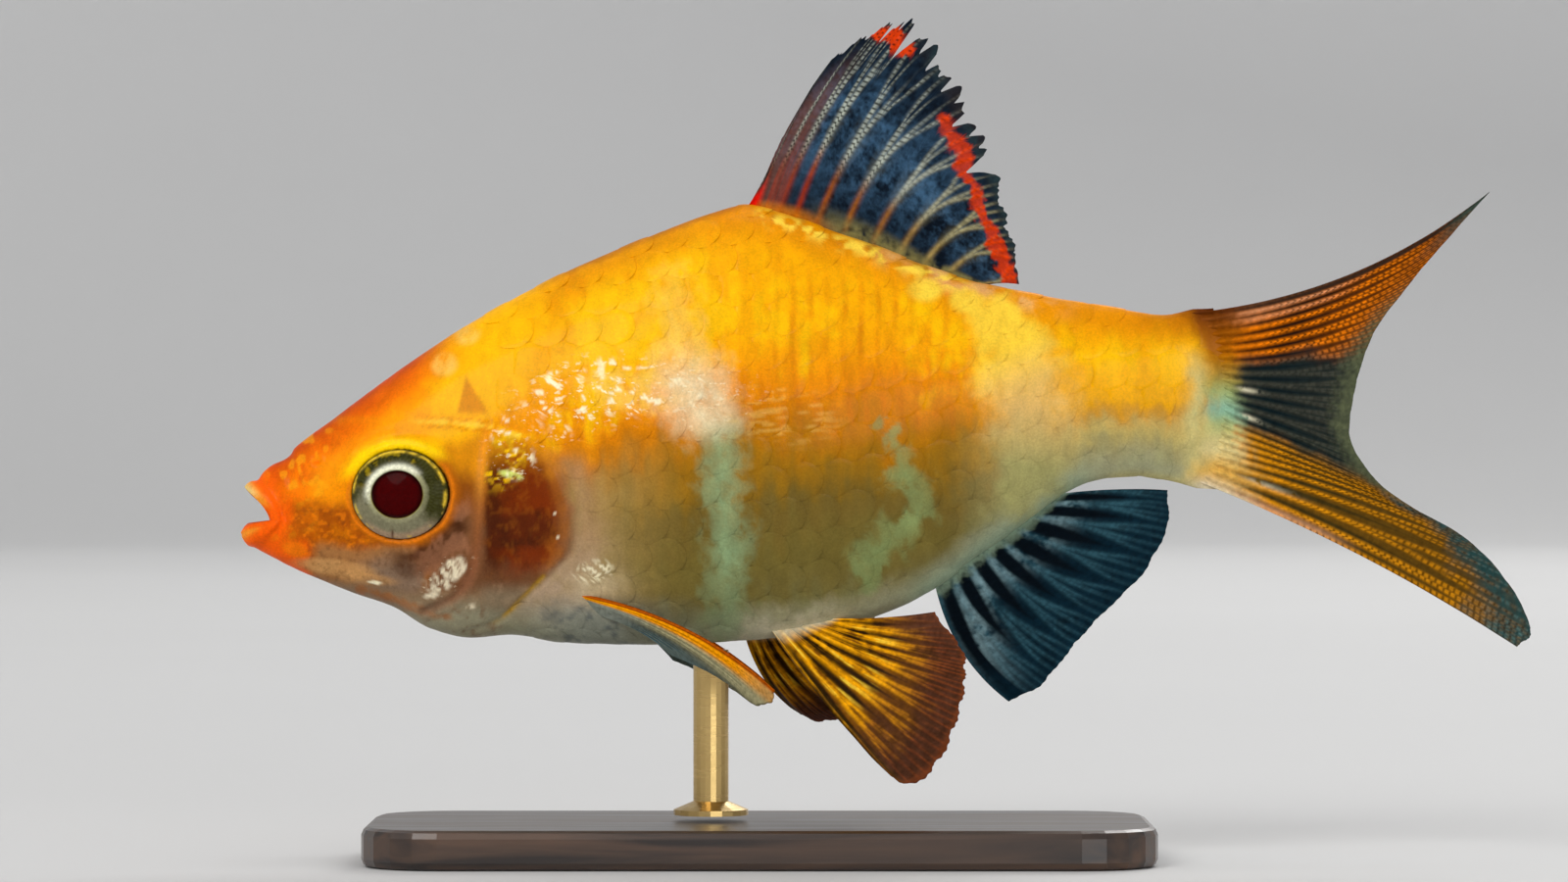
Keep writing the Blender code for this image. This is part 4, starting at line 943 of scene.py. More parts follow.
def make_scales(girth, side, word, rows, material):
    """One sheet of overlapping scales on one side, in the rows of places given."""
    draw = np.random.default_rng(5)
    across, along = np.meshgrid(
        np.linspace(-1, 1, PATCH_ACROSS), np.linspace(0, 1, PATCH_ALONG)
    )
    closed = closed_sheet(PATCH_ALONG, PATCH_ACROSS)
    if side > 0:
        closed = closed[:, ::-1]
    points, faces, colours, maps = [], [], [], []
    for k, (s0, d0) in enumerate(scale_places(girth, rows)):
        length = SCALE_LENGTH * draw.uniform(0.97, 1.03)
        half = SCALE_HALF * np.sin(np.clip(along * 1.9 + 0.62, 0, math.pi / 2))
        s = s0 - SCALE_LEAD + along * length * np.sqrt(1 - 0.6 * across**2)
        d = d0 + across * half
        tilt = draw.uniform(-0.004, 0.004)
        raised = 1 - soft(np.float64(s0), *SCALE_RISE_END)
        edge = soft(along, 0.8, 1.0) + soft(np.abs(across), 0.8, 1.0)
        lift = -SCALE_SINK - 0.01 * across**2 + (SCALE_RISE + tilt) * along * raised
        lift = lift - SCALE_EDGE_DROP * edge
        lift = lift - SCALE_ROOT_DROP * fade(along, 0.0, 0.2)
        s = np.minimum(s, BODY_END - 0.05)
        top = girth.point(s, d, side)
        out = girth.normal(s, d, side)
        upper = top + out * lift[..., None]
        lower = top + out * (lift - SCALE_THICKNESS)[..., None]
        paint = skin_colour(top[..., 0], top[..., 2])
        # A random tone for each scale, lighter across its middle as a painted highlight and darker at
        # its free edge as painted shade
        bright = draw.uniform(0.97, 1.03) * (1 + 0.04 * hump(along, 0.7, 0.2))
        bright = bright * (1 - 0.02 * soft(along, 0.86, 1.0) * (1 - 0.3 * across**2))
        paint = np.clip(paint * bright[..., None], 0, 1)
        # The Paint alpha holds how thickly the painted glints lie
        flecks = glint_share(top[..., 0], top[..., 2])
        paint = np.concatenate([paint, flecks[..., None]], axis=-1)
        points += [upper.reshape(-1, 3), lower.reshape(-1, 3)]
        colours += [paint.reshape(-1, 4)] * 2
        faces.append(closed + 2 * along.size * k)
        root = np.array([s0 / MAP_LENGTH, (d0 + MAP_HALF) / (2 * MAP_HALF)])
        patch = np.stack([along - 0.5, across / 2], axis=-1).reshape(-1, 2) * BAKE_PATCH
        maps += [root + patch] * 2
    made = mesh_piece(
        "scales_" + word, np.concatenate(points), np.concatenate(faces),
        np.concatenate(colours), material,
    )
    made.data.set_sharp_from_angle(angle=EDGE_ANGLE)
    add_map(made, BAKE_MAP, np.concatenate(maps))


# Eyes
def make_eye(side, word, material):
    """A shallow dome with a sunken pupil, a raised silver ring round it and a flat dark iris, with
    painted highlights along the top of the ring and of the iris's rim.
    """
    turn = np.linspace(0, 2 * math.pi, EYE_AROUND, endpoint=False)[None, :]
    ring = np.linspace(0.004, 1.0, EYE_RINGS)[:, None]
    dome = (EYE_APEX_Y - EYE_RIM_Y) * (1 - ring**2) ** 0.75
    detail = -PUPIL_DEPTH * fade(ring, PUPIL - 0.05, PUPIL + 0.02)
    detail = detail + PUPIL_DOME * hump(ring, 0.0, 0.36) + RING_HEIGHT * hump(ring, 0.57, 0.05)
    detail = detail + FIBRE_HEIGHT * np.sin(turn * IRIS_FIBRES) * hump(ring, 0.8, 0.13)
    out = (dome + detail) * np.ones_like(turn)
    flat_s = EYE_RX * ring * np.cos(turn)
    flat_h = EYE_RY * ring * np.sin(turn)
    for share, depth in EYE_BACK:
        flat_s = np.concatenate([flat_s, EYE_RX * share * np.cos(turn)])
        flat_h = np.concatenate([flat_h, EYE_RY * share * np.sin(turn)])
        out = np.concatenate([out, np.full_like(turn, depth)])
    lean = math.sin(EYE_TURN), math.cos(EYE_TURN)
    s = EYE_S + flat_s * lean[1] - out * lean[0]
    y = side * (EYE_RIM_Y + out * lean[1] + flat_s * lean[0])
    points = np.stack([s, y, EYE_H + flat_h], axis=-1)
    ring = np.concatenate([ring, np.ones((len(EYE_BACK), 1))]) * np.ones_like(turn)
    high = np.sin(turn) * np.ones_like(ring)
    front = -np.cos(turn) * np.ones_like(ring)
    fibres = 0.5 + 0.5 * np.sin(turn * IRIS_FIBRES + 5 * np.sin(ring * 9))
    patchy = mottle(flat_s / 0.4, flat_h / 0.4, 61)
    coat = Coat(lay(IRIS_OLIVE, IRIS_GREY, 0.12 * fibres))
    coat.lay(IRIS_DARK, soft(patchy, -0.2, 0.7) * soft(high, -0.1, 0.4))
    coat.lay(IRIS_GOLD, 0.6 * soft(patchy, 0.25, 0.8) * soft(high, 0.0, 0.6))
    coat.lay(IRIS_GREY, fade(high - 0.25 * front - 0.2 * patchy, -0.7, -0.05))
    coat.lay(IRIS_ROSE, 0.8 * fade(high, -0.95, -0.5) * soft(ring, 0.8, 0.93))
    # The silver ring, brighter towards the top and front as painted light
    silver = fade(ring + 0.02 * patchy, 0.59, 0.68)
    silver = silver * (0.45 + 0.5 * soft(high + 0.5 * front, -0.6, 0.7))
    coat.lay(IRIS_SILVER, silver)
    # Painted highlight: a white arc along the top and front of the silver ring
    ring_highlight = hump(ring, 0.62, 0.075) * soft(high + 0.6 * front + 0.3 * patchy, 0.0, 0.8)
    coat.lay(IRIS_HIGHLIGHT, 0.95 * ring_highlight)
    coat.lay(IRIS_GOLD, 0.8 * hump(ring, 0.53, 0.018) * fade(high, -0.3, 0.9))
    # A gold rim at the iris's edge, brightest along the top as a painted glint
    gilt = hump(ring, 0.955, 0.03) * soft(patchy + 0.6 * high, -0.4, 0.5)
    coat.lay(PALE_YELLOW, 0.8 * gilt)
    coat.lay(IRIS_EDGE, 0.15 * soft(ring, 0.978, 0.995))
    coat.lay(PUPIL_EDGE, fade(ring, PUPIL - 0.01, PUPIL + 0.02))
    coat.lay(PUPIL_RED, fade(ring, PUPIL - 0.14, PUPIL))
    nick = hump(np.cos(turn) * ring, -0.13, 0.02) * soft(-high * ring, 0.68, 0.84)
    coat.lay(GILL_DARK, 0.8 * nick)
    rows = EYE_RINGS + len(EYE_BACK)
    faces = grid_faces(rows, EYE_AROUND, wrap=True)
    caps = np.array([(0, k, k + 1, k + 2) for k in range(1, EYE_AROUND - 2, 2)])
    faces = np.concatenate([faces, caps[:, ::-1], caps + (rows - 1) * EYE_AROUND])
    if side < 0:
        faces = faces[:, ::-1]
    return mesh_piece(
        "eyeball_" + word, points.reshape(-1, 3), faces, coat.colour.reshape(-1, 3), material,
        ("eye_" + word,),
    )


# Roots, margins and bows of the fins, by u from the first ray at 0 to the last at 1
DORSAL_ROOT = (25.9, 37.9)
DORSAL_MARGIN = (
    (0.0, 27.6, 18.9), (0.045, 30.3, 23.1), (0.1, 32.3, 24.45), (0.2, 34.3, 25.1),
    (0.31, 35.8, 23.3), (0.44, 37.0, 20.8), (0.57, 38.3, 18.2), (0.7, 39.0, 15.8),
    (0.82, 39.4, 13.9), (0.92, 39.65, 12.7), (1.0, 39.7, 11.5),
)
DORSAL_BOW = ((0.0, -0.03), (0.045, 0.045), (0.25, 0.06), (0.65, 0.13), (0.85, 0.12), (1.0, 0.04))
DORSAL_RAYS = (0.0, 0.04, 0.08, 0.13, 0.2, 0.29, 0.405, 0.53, 0.64, 0.745, 0.85, 1.0)
DORSAL_CUTS = (
    (0.022, 0.12, 0.014),
    (0.155, 0.1, 0.01), (0.19, 0.05, 0.006), (0.235, 0.15, 0.016), (0.275, 0.08, 0.008),
    (0.315, 0.11, 0.012), (0.35, 0.05, 0.007), (0.385, 0.1, 0.012), (0.43, 0.06, 0.008),
    (0.475, 0.1, 0.012), (0.515, 0.06, 0.01), (0.55, 0.05, 0.008), (0.6, 0.17, 0.028),
    (0.665, 0.03, 0.006), (0.715, 0.035, 0.007), (0.78, 0.03, 0.006), (0.82, 0.035, 0.007),
    (0.885, 0.04, 0.008), (0.94, 0.03, 0.008),
)
ANAL_ROOT = (35.45, 42.0)
ANAL_MARGIN = (
    (0.0, 39.2, -9.8), (0.12, 40.75, -9.05), (0.25, 41.9, -7.65), (0.45, 43.9, -5.4),
    (0.66, 46.3, -2.85), (0.85, 47.4, -0.4), (1.0, 47.3, 1.0),
)
ANAL_BOW = ((0.0, -0.09), (0.5, -0.05), (0.8, 0.02), (1.0, 0.02))
TAIL_ROOT_TOP, TAIL_ROOT_BOTTOM = 10.1, 1.2
TAIL_MARGIN = (
    (0.0, 63.85, 16.25), (0.09, 61.75, 13.95), (0.18, 59.75, 11.6), (0.29, 57.8, 8.9),
    (0.38, 56.95, 6.5), (0.5, 56.55, 3.95), (0.6, 57.8, 1.6), (0.7, 59.75, 0.1),
    (0.8, 61.9, -1.1), (0.86, 63.4, -2.35), (0.905, 64.9, -4.3), (0.9375, 65.7, -6.2),
    (1.0, 64.95, -6.95),
)
TAIL_BOW = ((0.0, -0.07), (0.25, -0.045), (0.5, 0.0), (0.75, 0.02), (1.0, 0.025))
PECTORAL_ROOT = ((0.0, 17.6, -4.3), (1.0, 18.5, -5.3))
PECTORAL_MARGIN = (
    (0.0, 27.25, 6.4, -8.95), (0.12, 27.15, 6.0, -9.5), (0.3, 26.4, 5.4, -9.75),
    (0.5, 25.3, 4.8, -9.0), (0.75, 23.7, 4.0, -8.05), (1.0, 22.0, 3.4, -7.3),
)
PECTORAL_DROP = {-1: 0.0, 1: 0.5}
PELVIC_ROOT_Y = 1.3
PELVIC_ROOTS = {-1: (27.1, 30.2), 1: (25.7, 28.8)}
PELVIC_MARGINS = {
    -1: (
        (0.0, 33.1, 4.2, -13.3), (0.06, 33.9, 4.2, -13.85), (0.16, 35.2, 4.0, -13.1),
        (0.32, 36.3, 3.7, -11.2), (0.55, 36.95, 3.1, -8.8), (0.75, 36.95, 2.6, -7.5),
        (1.0, 35.4, 2.1, -5.15),
    ),
    1: (
        (0.0, 28.6, 6.9, -10.7), (0.12, 29.5, 6.9, -11.1), (0.25, 30.4, 6.6, -11.0),
        (0.45, 32.4, 5.9, -10.4), (0.7, 34.0, 4.8, -9.1), (0.88, 34.9, 3.6, -7.9),
        (1.0, 35.0, 2.6, -6.9),
    ),
}
PELVIC_BOWS = {-1: -0.02, 1: -0.08}

# How deep the fins start inside the body, and how far they sway, curl or bow. The tail's
# curl is how far its upper and lower tips lie to the right
ROOT_SINK, PECTORAL_SINK, TAIL_SINK = 0.1, 0.05, 0.5
DORSAL_SWAY, DORSAL_HALF_WAVES, ANAL_SWAY = 0.35, 2.5, -0.5
TAIL_CURL = 1.2, -1.5
PECTORAL_BOW = 0.07


# Surfaces of the fins: v is 0 at the root and 1 at the margin
def along(knots, u):
    """Coordinates at u of a smooth line through (u, coordinate, coordinate...) knots."""
    return [smooth([(knot[0], knot[k]) for knot in knots], u) for k in range(1, len(knots[0]))]


def ray_point(root, tip, bow, v):
    """A point at v on a ray that bows in its (s, h) plane by a share of its length."""
    control = [(a + b) / 2 for a, b in zip(root, tip)]
    control[0] = control[0] - 2 * bow * (tip[2] - root[2])
    control[2] = control[2] + 2 * bow * (tip[0] - root[0])
    return np.stack(
        [a * (1 - v) ** 2 + 2 * c * v * (1 - v) + b * v * v for a, c, b in zip(root, control, tip)],
        axis=-1,
    )


def dorsal_surface(u, v):
    s = DORSAL_ROOT[0] + (DORSAL_ROOT[1] - DORSAL_ROOT[0]) * u
    tip_s, tip_h = along(DORSAL_MARGIN, u)
    tip = (tip_s, DORSAL_SWAY * np.sin(DORSAL_HALF_WAVES * math.pi * u), tip_h)
    return ray_point((s, 0 * u, smooth(BACK, s) - ROOT_SINK), tip, smooth(DORSAL_BOW, u), v)


def anal_surface(u, v):
    s = ANAL_ROOT[0] + (ANAL_ROOT[1] - ANAL_ROOT[0]) * u
    tip_s, tip_h = along(ANAL_MARGIN, u)
    tip = (tip_s, ANAL_SWAY * np.sin(math.pi * u), tip_h)
    return ray_point((s, 0 * u, smooth(BELLY, s) + ROOT_SINK), tip, smooth(ANAL_BOW, u), v)


def tail_surface(u, v):
    root_h = TAIL_ROOT_TOP + (TAIL_ROOT_BOTTOM - TAIL_ROOT_TOP) * u
    root = (smooth(TAIL_ARC, root_h) - TAIL_SINK, 0 * u, root_h)
    tip_s, tip_h = along(TAIL_MARGIN, u)
    points = ray_point(root, (tip_s, 0 * u, tip_h), smooth(TAIL_BOW, u), v)
    upper, lower = TAIL_CURL
    points[..., 1] = (upper + (lower - upper) * u) * v * v
    return points


def pectoral_surface(side):
    def surface(u, v):
        s, h = along(PECTORAL_ROOT, u)
        tip_s, tip_y, tip_h = along(PECTORAL_MARGIN, u)
        root = (s, side * (side_y(s, h) - PECTORAL_SINK), h)
        tip = (tip_s, side * tip_y, tip_h - PECTORAL_DROP[side])
        return ray_point(root, tip, PECTORAL_BOW, v)

    return surface


def pelvic_surface(side):
    def surface(u, v):
        start, end = PELVIC_ROOTS[side]
        s = start + (end - start) * u
        tip_s, tip_y, tip_h = along(PELVIC_MARGINS[side], u)
        root = (s, side * (PELVIC_ROOT_Y + 0 * u), under_h(s, PELVIC_ROOT_Y) + ROOT_SINK)
        return ray_point(root, (tip_s, side * tip_y, tip_h), PELVIC_BOWS[side], v)

    return surface


# Paint of the fins: ray is 1 along each ray, and fan where its branches spread
def dorsal_paint(u, v, ray, fan, points):
    """Speckled blue web with beaded rays, red at the front's foot, on top and along the rear."""
    s, h = points[..., 0], points[..., 2]
    uneven, fine = mottle(s / 1.6, h / 1.6, 41), mottle(s / 0.35, h / 0.35, 45, 3)
    grain = mottle(s / 0.12, h / 0.12, 46, 2)
    glow = hump(v, 0.45, 0.3) * soft(0.8 * uneven + 0.5 * fine + 0.35 * grain, -1.0, 1.2)
    web = lay(NAVY, NAVY_BLUE, 0.75 * glow)
    front = fade(u, 0.09, 0.17)
    web = lay(web, FRONT_PINK, 0.75 * front * fade(v, 0.5, 0.95))
    bone = lay(RAY_CREAM, RAY_BROWN, fade(v, 0.2, 0.38))
    bone = lay(bone, RAY_YELLOW, 0.75 * soft(u, 0.45, 0.75))
    bone = lay(bone, RAY_RED, fade(u, 0.2, 0.34) * fade(v, 0.12, 0.36))
    bone = lay(bone, FRONT_PINK, 0.5 * front * fade(v, 0.3, 0.6))
    bone = lay(bone, TIP_GREY, 0.6 * soft(v, 0.86, 0.94))
    coat = Coat(lay(web, bone, 0.08 * fan * fade(v, 0.3, 0.6)))
    coat.lay(bone, ray**1.6 * (0.85 + 0.2 * fine - 0.35 * soft(v, 0.45, 0.85)))
    streak = front * soft(mottle(u / 0.012, v / 0.6, 48, 2), 0.0, 0.6) * fade(v, 0.1, 0.6)
    coat.lay(RAY_RED, 0.35 * streak)
    glow = fade(v, 0.02, 0.13) * soft(u, 0.2, 0.45)
    coat.lay(SHEATH_GREEN, 0.85 * glow * soft(uneven + 0.5 * fine, -0.8, 0.3))
    coat.lay(BACK_ORANGE, 0.7 * fade(v, 0.0, 0.06) * fade(u, 0.2, 0.4))
    outer = soft(v, 0.88, 0.95) * soft(u, 0.22, 0.32)
    coat.lay(TIP_GREY, 0.4 * outer * (0.6 + 0.6 * ray))
    coat.lay(TIP_TEAL, 0.5 * outer * soft(uneven, -0.2, 0.5))
    coat.lay(BASE_RED, fade(u, 0.02, 0.06) * fade(v, 0.06, 0.26))
    patch = np.hypot((s - 33.05) / 0.75, (h - 24.25) / 0.45)
    patch = np.minimum(patch, np.hypot((s - 33.75) / 0.6, (h - 23.6) / 0.4)) + 0.4 * fine
    band, share = line_distance(RED_BAND, s, h)
    wide = smooth(RED_BAND_WIDTH, share)
    band = fade(band + 0.2 * uneven + 0.2 * fine, wide - 0.12, wide + 0.12)
    red = np.maximum(fade(patch, 0.8, 1.1), band * (0.7 + 0.4 * ray))
    coat.lay(TIP_RED, 0.95 * red * (1 + 0.15 * grain))
    return coat.lay(TIP_GREY, 0.8 * fade(u, 0.004, 0.012) * soft(v, 0.3, 0.5))


def anal_paint(u, v, ray, fan, points):
    """Nearly black, with teal rays that widen and pale blotches between them near the body."""
    s, h = points[..., 0], points[..., 2]
    uneven, fine = mottle(s / 1.2, h / 1.2, 51), mottle(s / 0.3, h / 0.3, 55, 3)
    dark = 0.7 * fan + 0.7 * soft(v, 0.55, 0.85)
    coat = Coat(lay(BLACK_TEAL, DEEP_TEAL, dark))
    shine = ray * (0.8 + 0.4 * uneven + 0.2 * fine) * (1 - 0.5 * soft(v, 0.6, 1.0))
    coat.lay(RAY_STEEL, shine)
    reach = 0.16 + 0.22 * fade(u, 0.05, 0.3)
    pale = fan * hump(v, reach, 0.9 * reach) * soft(uneven + 0.5 * fine, -0.8, 0.4)
    coat.lay(BLOTCH, 0.75 * pale * soft(u, 0.0, 0.06))
    coat.lay(ROOT_CYAN, 0.8 * fade(v - 0.03 * fine, 0.0, 0.1))
    return coat.lay(BLACK_TEAL, 0.4 * soft(fine, 0.1, 0.9))


def tail_paint(u, v, ray, fan, points):
    """Beaded orange rays in both lobes, a dark teal middle, pale streaks and blue-grey tips."""
    s, h = points[..., 0], points[..., 2]
    uneven, fine = mottle(s / 1.6, h / 1.6, 61), mottle(s / 0.25, h / 0.25, 65, 3)
    middle = soft(u + 0.03 * uneven, 0.25, 0.34) * fade(u + 0.03 * uneven, 0.56, 0.7)
    lower = soft(u, 0.5, 0.64)
    web = lay(TAIL_BROWN, TAIL_TEAL, middle)
    web = lay(web, TAIL_OLIVE, 0.8 * lower * (1 - middle))
    bone = lay(TAIL_ORANGE, TAIL_GOLD, lower)
    bone = lay(bone, TAIL_GREY, 0.95 * middle)
    bone = lay(bone, TAIL_OLIVE, 0.3 * lower * (1 - middle) * soft(v, 0.35, 0.7))
    coat = Coat(lay(web, bone, 0.1 * fan))
    coat.lay(bone, ray * (0.85 + 0.25 * fine) * (1 - 0.5 * middle))
    edge = fade(u, 0.06, 0.13) * fade(v, 0.4, 0.62)
    coat.lay(TAIL_BEAD, 0.7 * edge * ray)
    coat.lay(TAIL_EDGE, 0.85 * fade(u, 0.02, 0.045))
    low_edge = soft(u, 0.95, 0.99) * fade(v, 0.3, 0.5)
    coat.lay(TAIL_BEAD, 0.6 * low_edge)
    rear = soft(v + 0.03 * fine, 0.78, 0.97) * soft(u, 0.12, 0.3) * fade(u, 0.6, 0.72)
    coat.lay(TAIL_MARGIN_GREY, rear * (0.75 + 0.2 * fine))
    upper_tip = soft(v, 0.8, 0.95) * fade(u, 0.03, 0.14)
    coat.lay(TAIL_GREY, 0.8 * upper_tip)
    lower_tip = soft(v + 0.05 * uneven, 0.76, 0.9) * soft(u, 0.6, 0.78)
    coat.lay(TAIL_BLUE, 0.95 * lower_tip * (0.9 + 0.2 * fine))
    coat.lay(TAIL_PALE_BLUE, 0.4 * ray * lower_tip * soft(fine, -0.3, 0.5))
    streaks = hump(u, 0.43, 0.012) + hump(u, 0.56, 0.012) + 0.5 * hump(u, 0.9, 0.01)
    coat.lay(BELLY_WHITE, 0.9 * streaks * hump(v, 0.16, 0.08) * soft(fine, -0.8, 0.0))
    glow = hump(u, 0.68, 0.07) * fade(v, 0.04, 0.16)
    coat.lay(TAIL_ORANGE, 0.7 * glow)
    base = fade(v + 0.03 * uneven + 0.02 * fine - 0.05 * ray, -0.01, 0.19) ** 1.8
    return coat.lay(blend(TAIL_ROOT_STOPS, u), 0.95 * base)


def pelvic_paint(u, v, ray, fan, points):
    """Golden rays with uneven glints on a dark brown web, red-brown over the outer third."""
    s, h = points[..., 0], points[..., 2]
    uneven, fine = mottle(s / 1.2, h / 1.2, 71), mottle(s / 0.3, h / 0.3, 75, 3)
    along_ray = mottle(u * 34, v * 4.0, 77, 3)
    outer = soft(v + 0.1 * uneven, 0.42, 0.88)
    web = lay(PELVIC_DARK, PELVIC_TAN, 0.65 * fan * (1 - outer))
    web = lay(web, PELVIC_ROSE, 0.5 * outer * (1 + 0.4 * fine))
    bone = lay(PELVIC_GOLD, PELVIC_RED, outer)
    shine = soft(along_ray + 0.4 * fine, -0.7 - 0.6 * outer, 0.5 - 0.4 * outer)
    coat = Coat(lay(web, bone, ray ** (1 + 3 * outer) * shine * (1 - 0.2 * outer)))
    sparks = soft(along_ray, 0.45, 0.75) * fan * fade(v, 0.4, 0.6)
    coat.lay(PALE_YELLOW, 0.8 * sparks)
    coat.lay(PELVIC_ROSE, 0.6 * soft(u, 0.74, 1.0) * soft(v, 0.3, 0.8))
    coat.lay(PELVIC_RED, 0.5 * soft(v, 0.95, 0.99))
    coat.lay(PELVIC_OLIVE, 0.4 * fade(u, 0.0, 0.08))
    return coat.lay(BELLY_WHITE, 0.8 * fade(v, 0.0, 0.1))


def pectoral_paint(u, v, ray, fan, points):
    """A bright orange front edge with a dark rim, over a pale web that turns blue-grey."""
    coat = Coat(lay(PECTORAL_PALE, PECTORAL_BLUE, soft(u, 0.25, 0.8)))
    coat.lay(PECTORAL_PALE, 0.35 * ray)
    coat.lay(CHEST, 0.9 * fade(v, 0.12, 0.42) * soft(u, 0.1, 0.25))
    edge = fade(u, 0.12, 0.24) * (1 - 0.6 * soft(v, 0.75, 1.0))
    coat.lay(PECTORAL_ORANGE, edge)
    return coat.lay(PECTORAL_RIM, fade(u, 0.015, 0.05))


# How a fin is made, as for the pelvic fins; the others say only what they have of their own.
# columns and rows are the grid's: columns from ray to ray, rows from the root to the margin.
# sunk is the share of the length inside the body, and rays before number plain don't fork.
# A ray forks at fork_from, a share of its length, and fan is how wide its strip of web is
# before that. uneven, notch, finger and cuts shape the margin, in shares of the length.
# ray_width, ray_height, root_height, web and wave are in millimetres, as is the joints' pitch.
# joint is how strongly the joints show, from the first ray at 0 to the last at 1.
FIN_LOOK = {
    "columns": 18, "rows": 90, "sunk": 0.05, "plain": 1, "fork_from": 0.26, "fan": 0.17,
    "uneven": 0.01, "notch": 0.02, "finger": 2.0, "cuts": (), "ray_width": 0.2,
    "ray_height": 0.12, "root_height": 0.0, "web": 0.05, "wave": 0.06, "pitch": 0.26,
    "joint": ((0, 0.1), (1, 0.1)),
}
FIN_LOOKS = {
    "dorsal": {
        "columns": 26, "rows": 130, "plain": 3, "fork_from": 0.28, "fan": 0.14, "uneven": 0.02,
        "notch": 0.05, "finger": 1.5, "cuts": DORSAL_CUTS, "ray_height": 0.13, "wave": 0.1,
        "pitch": 0.3, "joint": ((0, 0.9), (0.35, 0.8), (0.55, 0.3), (1, 0.12)),
    },
    "anal": {
        "rows": 110, "fork_from": 0.2, "fan": 0.16, "uneven": 0.008, "notch": 0.012,
        "ray_height": 0.13, "wave": 0.08, "joint": ((0, 0.12), (1, 0.12)),
    },
    "tail": {
        "columns": 14, "rows": 140, "sunk": 0.14, "fork_from": 0.3, "fan": 0.3, "uneven": 0.003,
        "notch": 0.004, "ray_width": 0.16, "ray_height": 0.1, "root_height": 0.16, "wave": 0.08,
        "pitch": 0.36,
        "joint": ((0, 0.8), (0.28, 0.75), (0.38, 0.2), (0.6, 0.25), (0.7, 0.7), (1, 0.7)),
    },
    "pectoral": {
        "columns": 12, "rows": 80, "sunk": 0.03, "fork_from": 0.5, "fan": 0.3, "uneven": 0.004,
        "notch": 0.006, "ray_width": 0.13, "ray_height": 0.07, "web": 0.04, "wave": 0.03,
        "pitch": 0.3, "joint": ((0, 0.2), (1, 0.2)),
    },
    "pelvic": {},
}
RAY_COUNTS = {"anal": 9, "tail": 24, "pectoral": 14, "pelvic": 9}


def fin_piece(name, surface, rays, look, paint, material, nodes, seed):
    """A closed thin fin whose jointed rays branch and fan out in a web, notched between them."""
    draw = np.random.default_rng(seed)
    count = len(rays)
    columns = (count - 1) * look["columns"] + 1
    place = np.linspace(0, count - 1, columns)
    u = np.interp(place, np.arange(count), rays)[:, None]
    nearest = np.round(place)
    offset = (place - nearest)[:, None]
    v = np.linspace(-look["sunk"], 1, look["rows"])[None, :]
    branched = (nearest >= look["plain"])[:, None]
    fork = look["fork_from"]
    open1 = 0.25 * branched * soft(v, fork, 0.92)
    open2 = 0.125 * branched * soft(v, fork + 0.2, 0.98)
    tips = [np.abs(offset - a * open1 - b * open2) for a in (-1, 1) for b in (-1, 1)]
    away = np.minimum.reduce(tips)
    fan = look["fan"] + (0.56 - look["fan"]) * branched * soft(v, fork - 0.1, 0.85)
    fan = fade(np.abs(offset), fan - 0.06, fan + 0.1)
    reach = 1 + look["uneven"] * draw.uniform(-1, 0.4, count)[nearest.astype(int)]
    strands = 0.2 * look["notch"] * np.cos(8 * math.pi * offset[:, 0])
    ragged = reach + strands - look["notch"] * np.abs(2 * offset[:, 0]) ** look["finger"]
    for cut_u, depth, half in look["cuts"]:
        ragged = ragged - depth * np.clip(1 - np.abs(u[:, 0] - cut_u) / half, 0, 1)
    flat = np.clip(v, 0, 1)
    v = np.where(v > 0.5, 0.5 + (v - 0.5) * (ragged[:, None] - 0.5) / 0.5, v)
    points = surface(u * np.ones_like(v), v)
    step = np.linalg.norm(np.diff(points, axis=1), axis=2)
    run = np.concatenate([np.zeros((columns, 1)), np.cumsum(step, axis=1)], axis=1)
    pitch = np.linalg.norm(np.gradient(points, axis=0), axis=2) * look["columns"]
    width = look["ray_width"] * (1 - 0.6 * flat)
    ray = np.exp(-((away * np.maximum(pitch, 0.05) / width) ** 2)) * np.ones_like(v)
    normal = grid_normals(points)
    raised = look["ray_height"] * (1 - 0.65 * flat) * ray * soft(v, -0.03, 0.08)
    raised = raised + look["root_height"] * ray * hump(v, 0.0, 0.06)
    thick = (look["web"] + raised) * (1 - 0.6 * soft(flat, 0.85, 1.0))
    wavy = look["wave"] * mottle(points[..., 0] / 3, points[..., 2] / 3, seed + 7, 2) * flat
    middle = points + normal * wavy[..., None]
    sheets = [middle + normal * thick[..., None], middle - normal * thick[..., None]]
    colour = paint(u * np.ones_like(v), np.clip(v, 0, 1), ray, fan, points)
    made = mesh_piece(
        name, np.concatenate([sheet.reshape(-1, 3) for sheet in sheets]),
        closed_sheet(columns, look["rows"]),
        np.clip(np.concatenate([colour.reshape(-1, 3)] * 2), 0, 1), material, nodes,
    )
    mark = made.data.attributes.new("Joint", "FLOAT", "POINT")
    joint = ray * smooth(look["joint"], u) * soft(flat, 0.16, 0.34)
    mark.data.foreach_set("value", np.tile(joint.ravel(), 2).astype(np.float32))
    shift = (0.37 * nearest[:, None] + 0.5 * (offset > 0)) * np.ones_like(v)
    pair = np.stack([shift.ravel(), run.ravel() / look["pitch"]], axis=-1)
    add_map(made, "Length", np.tile(pair, (2, 1)))


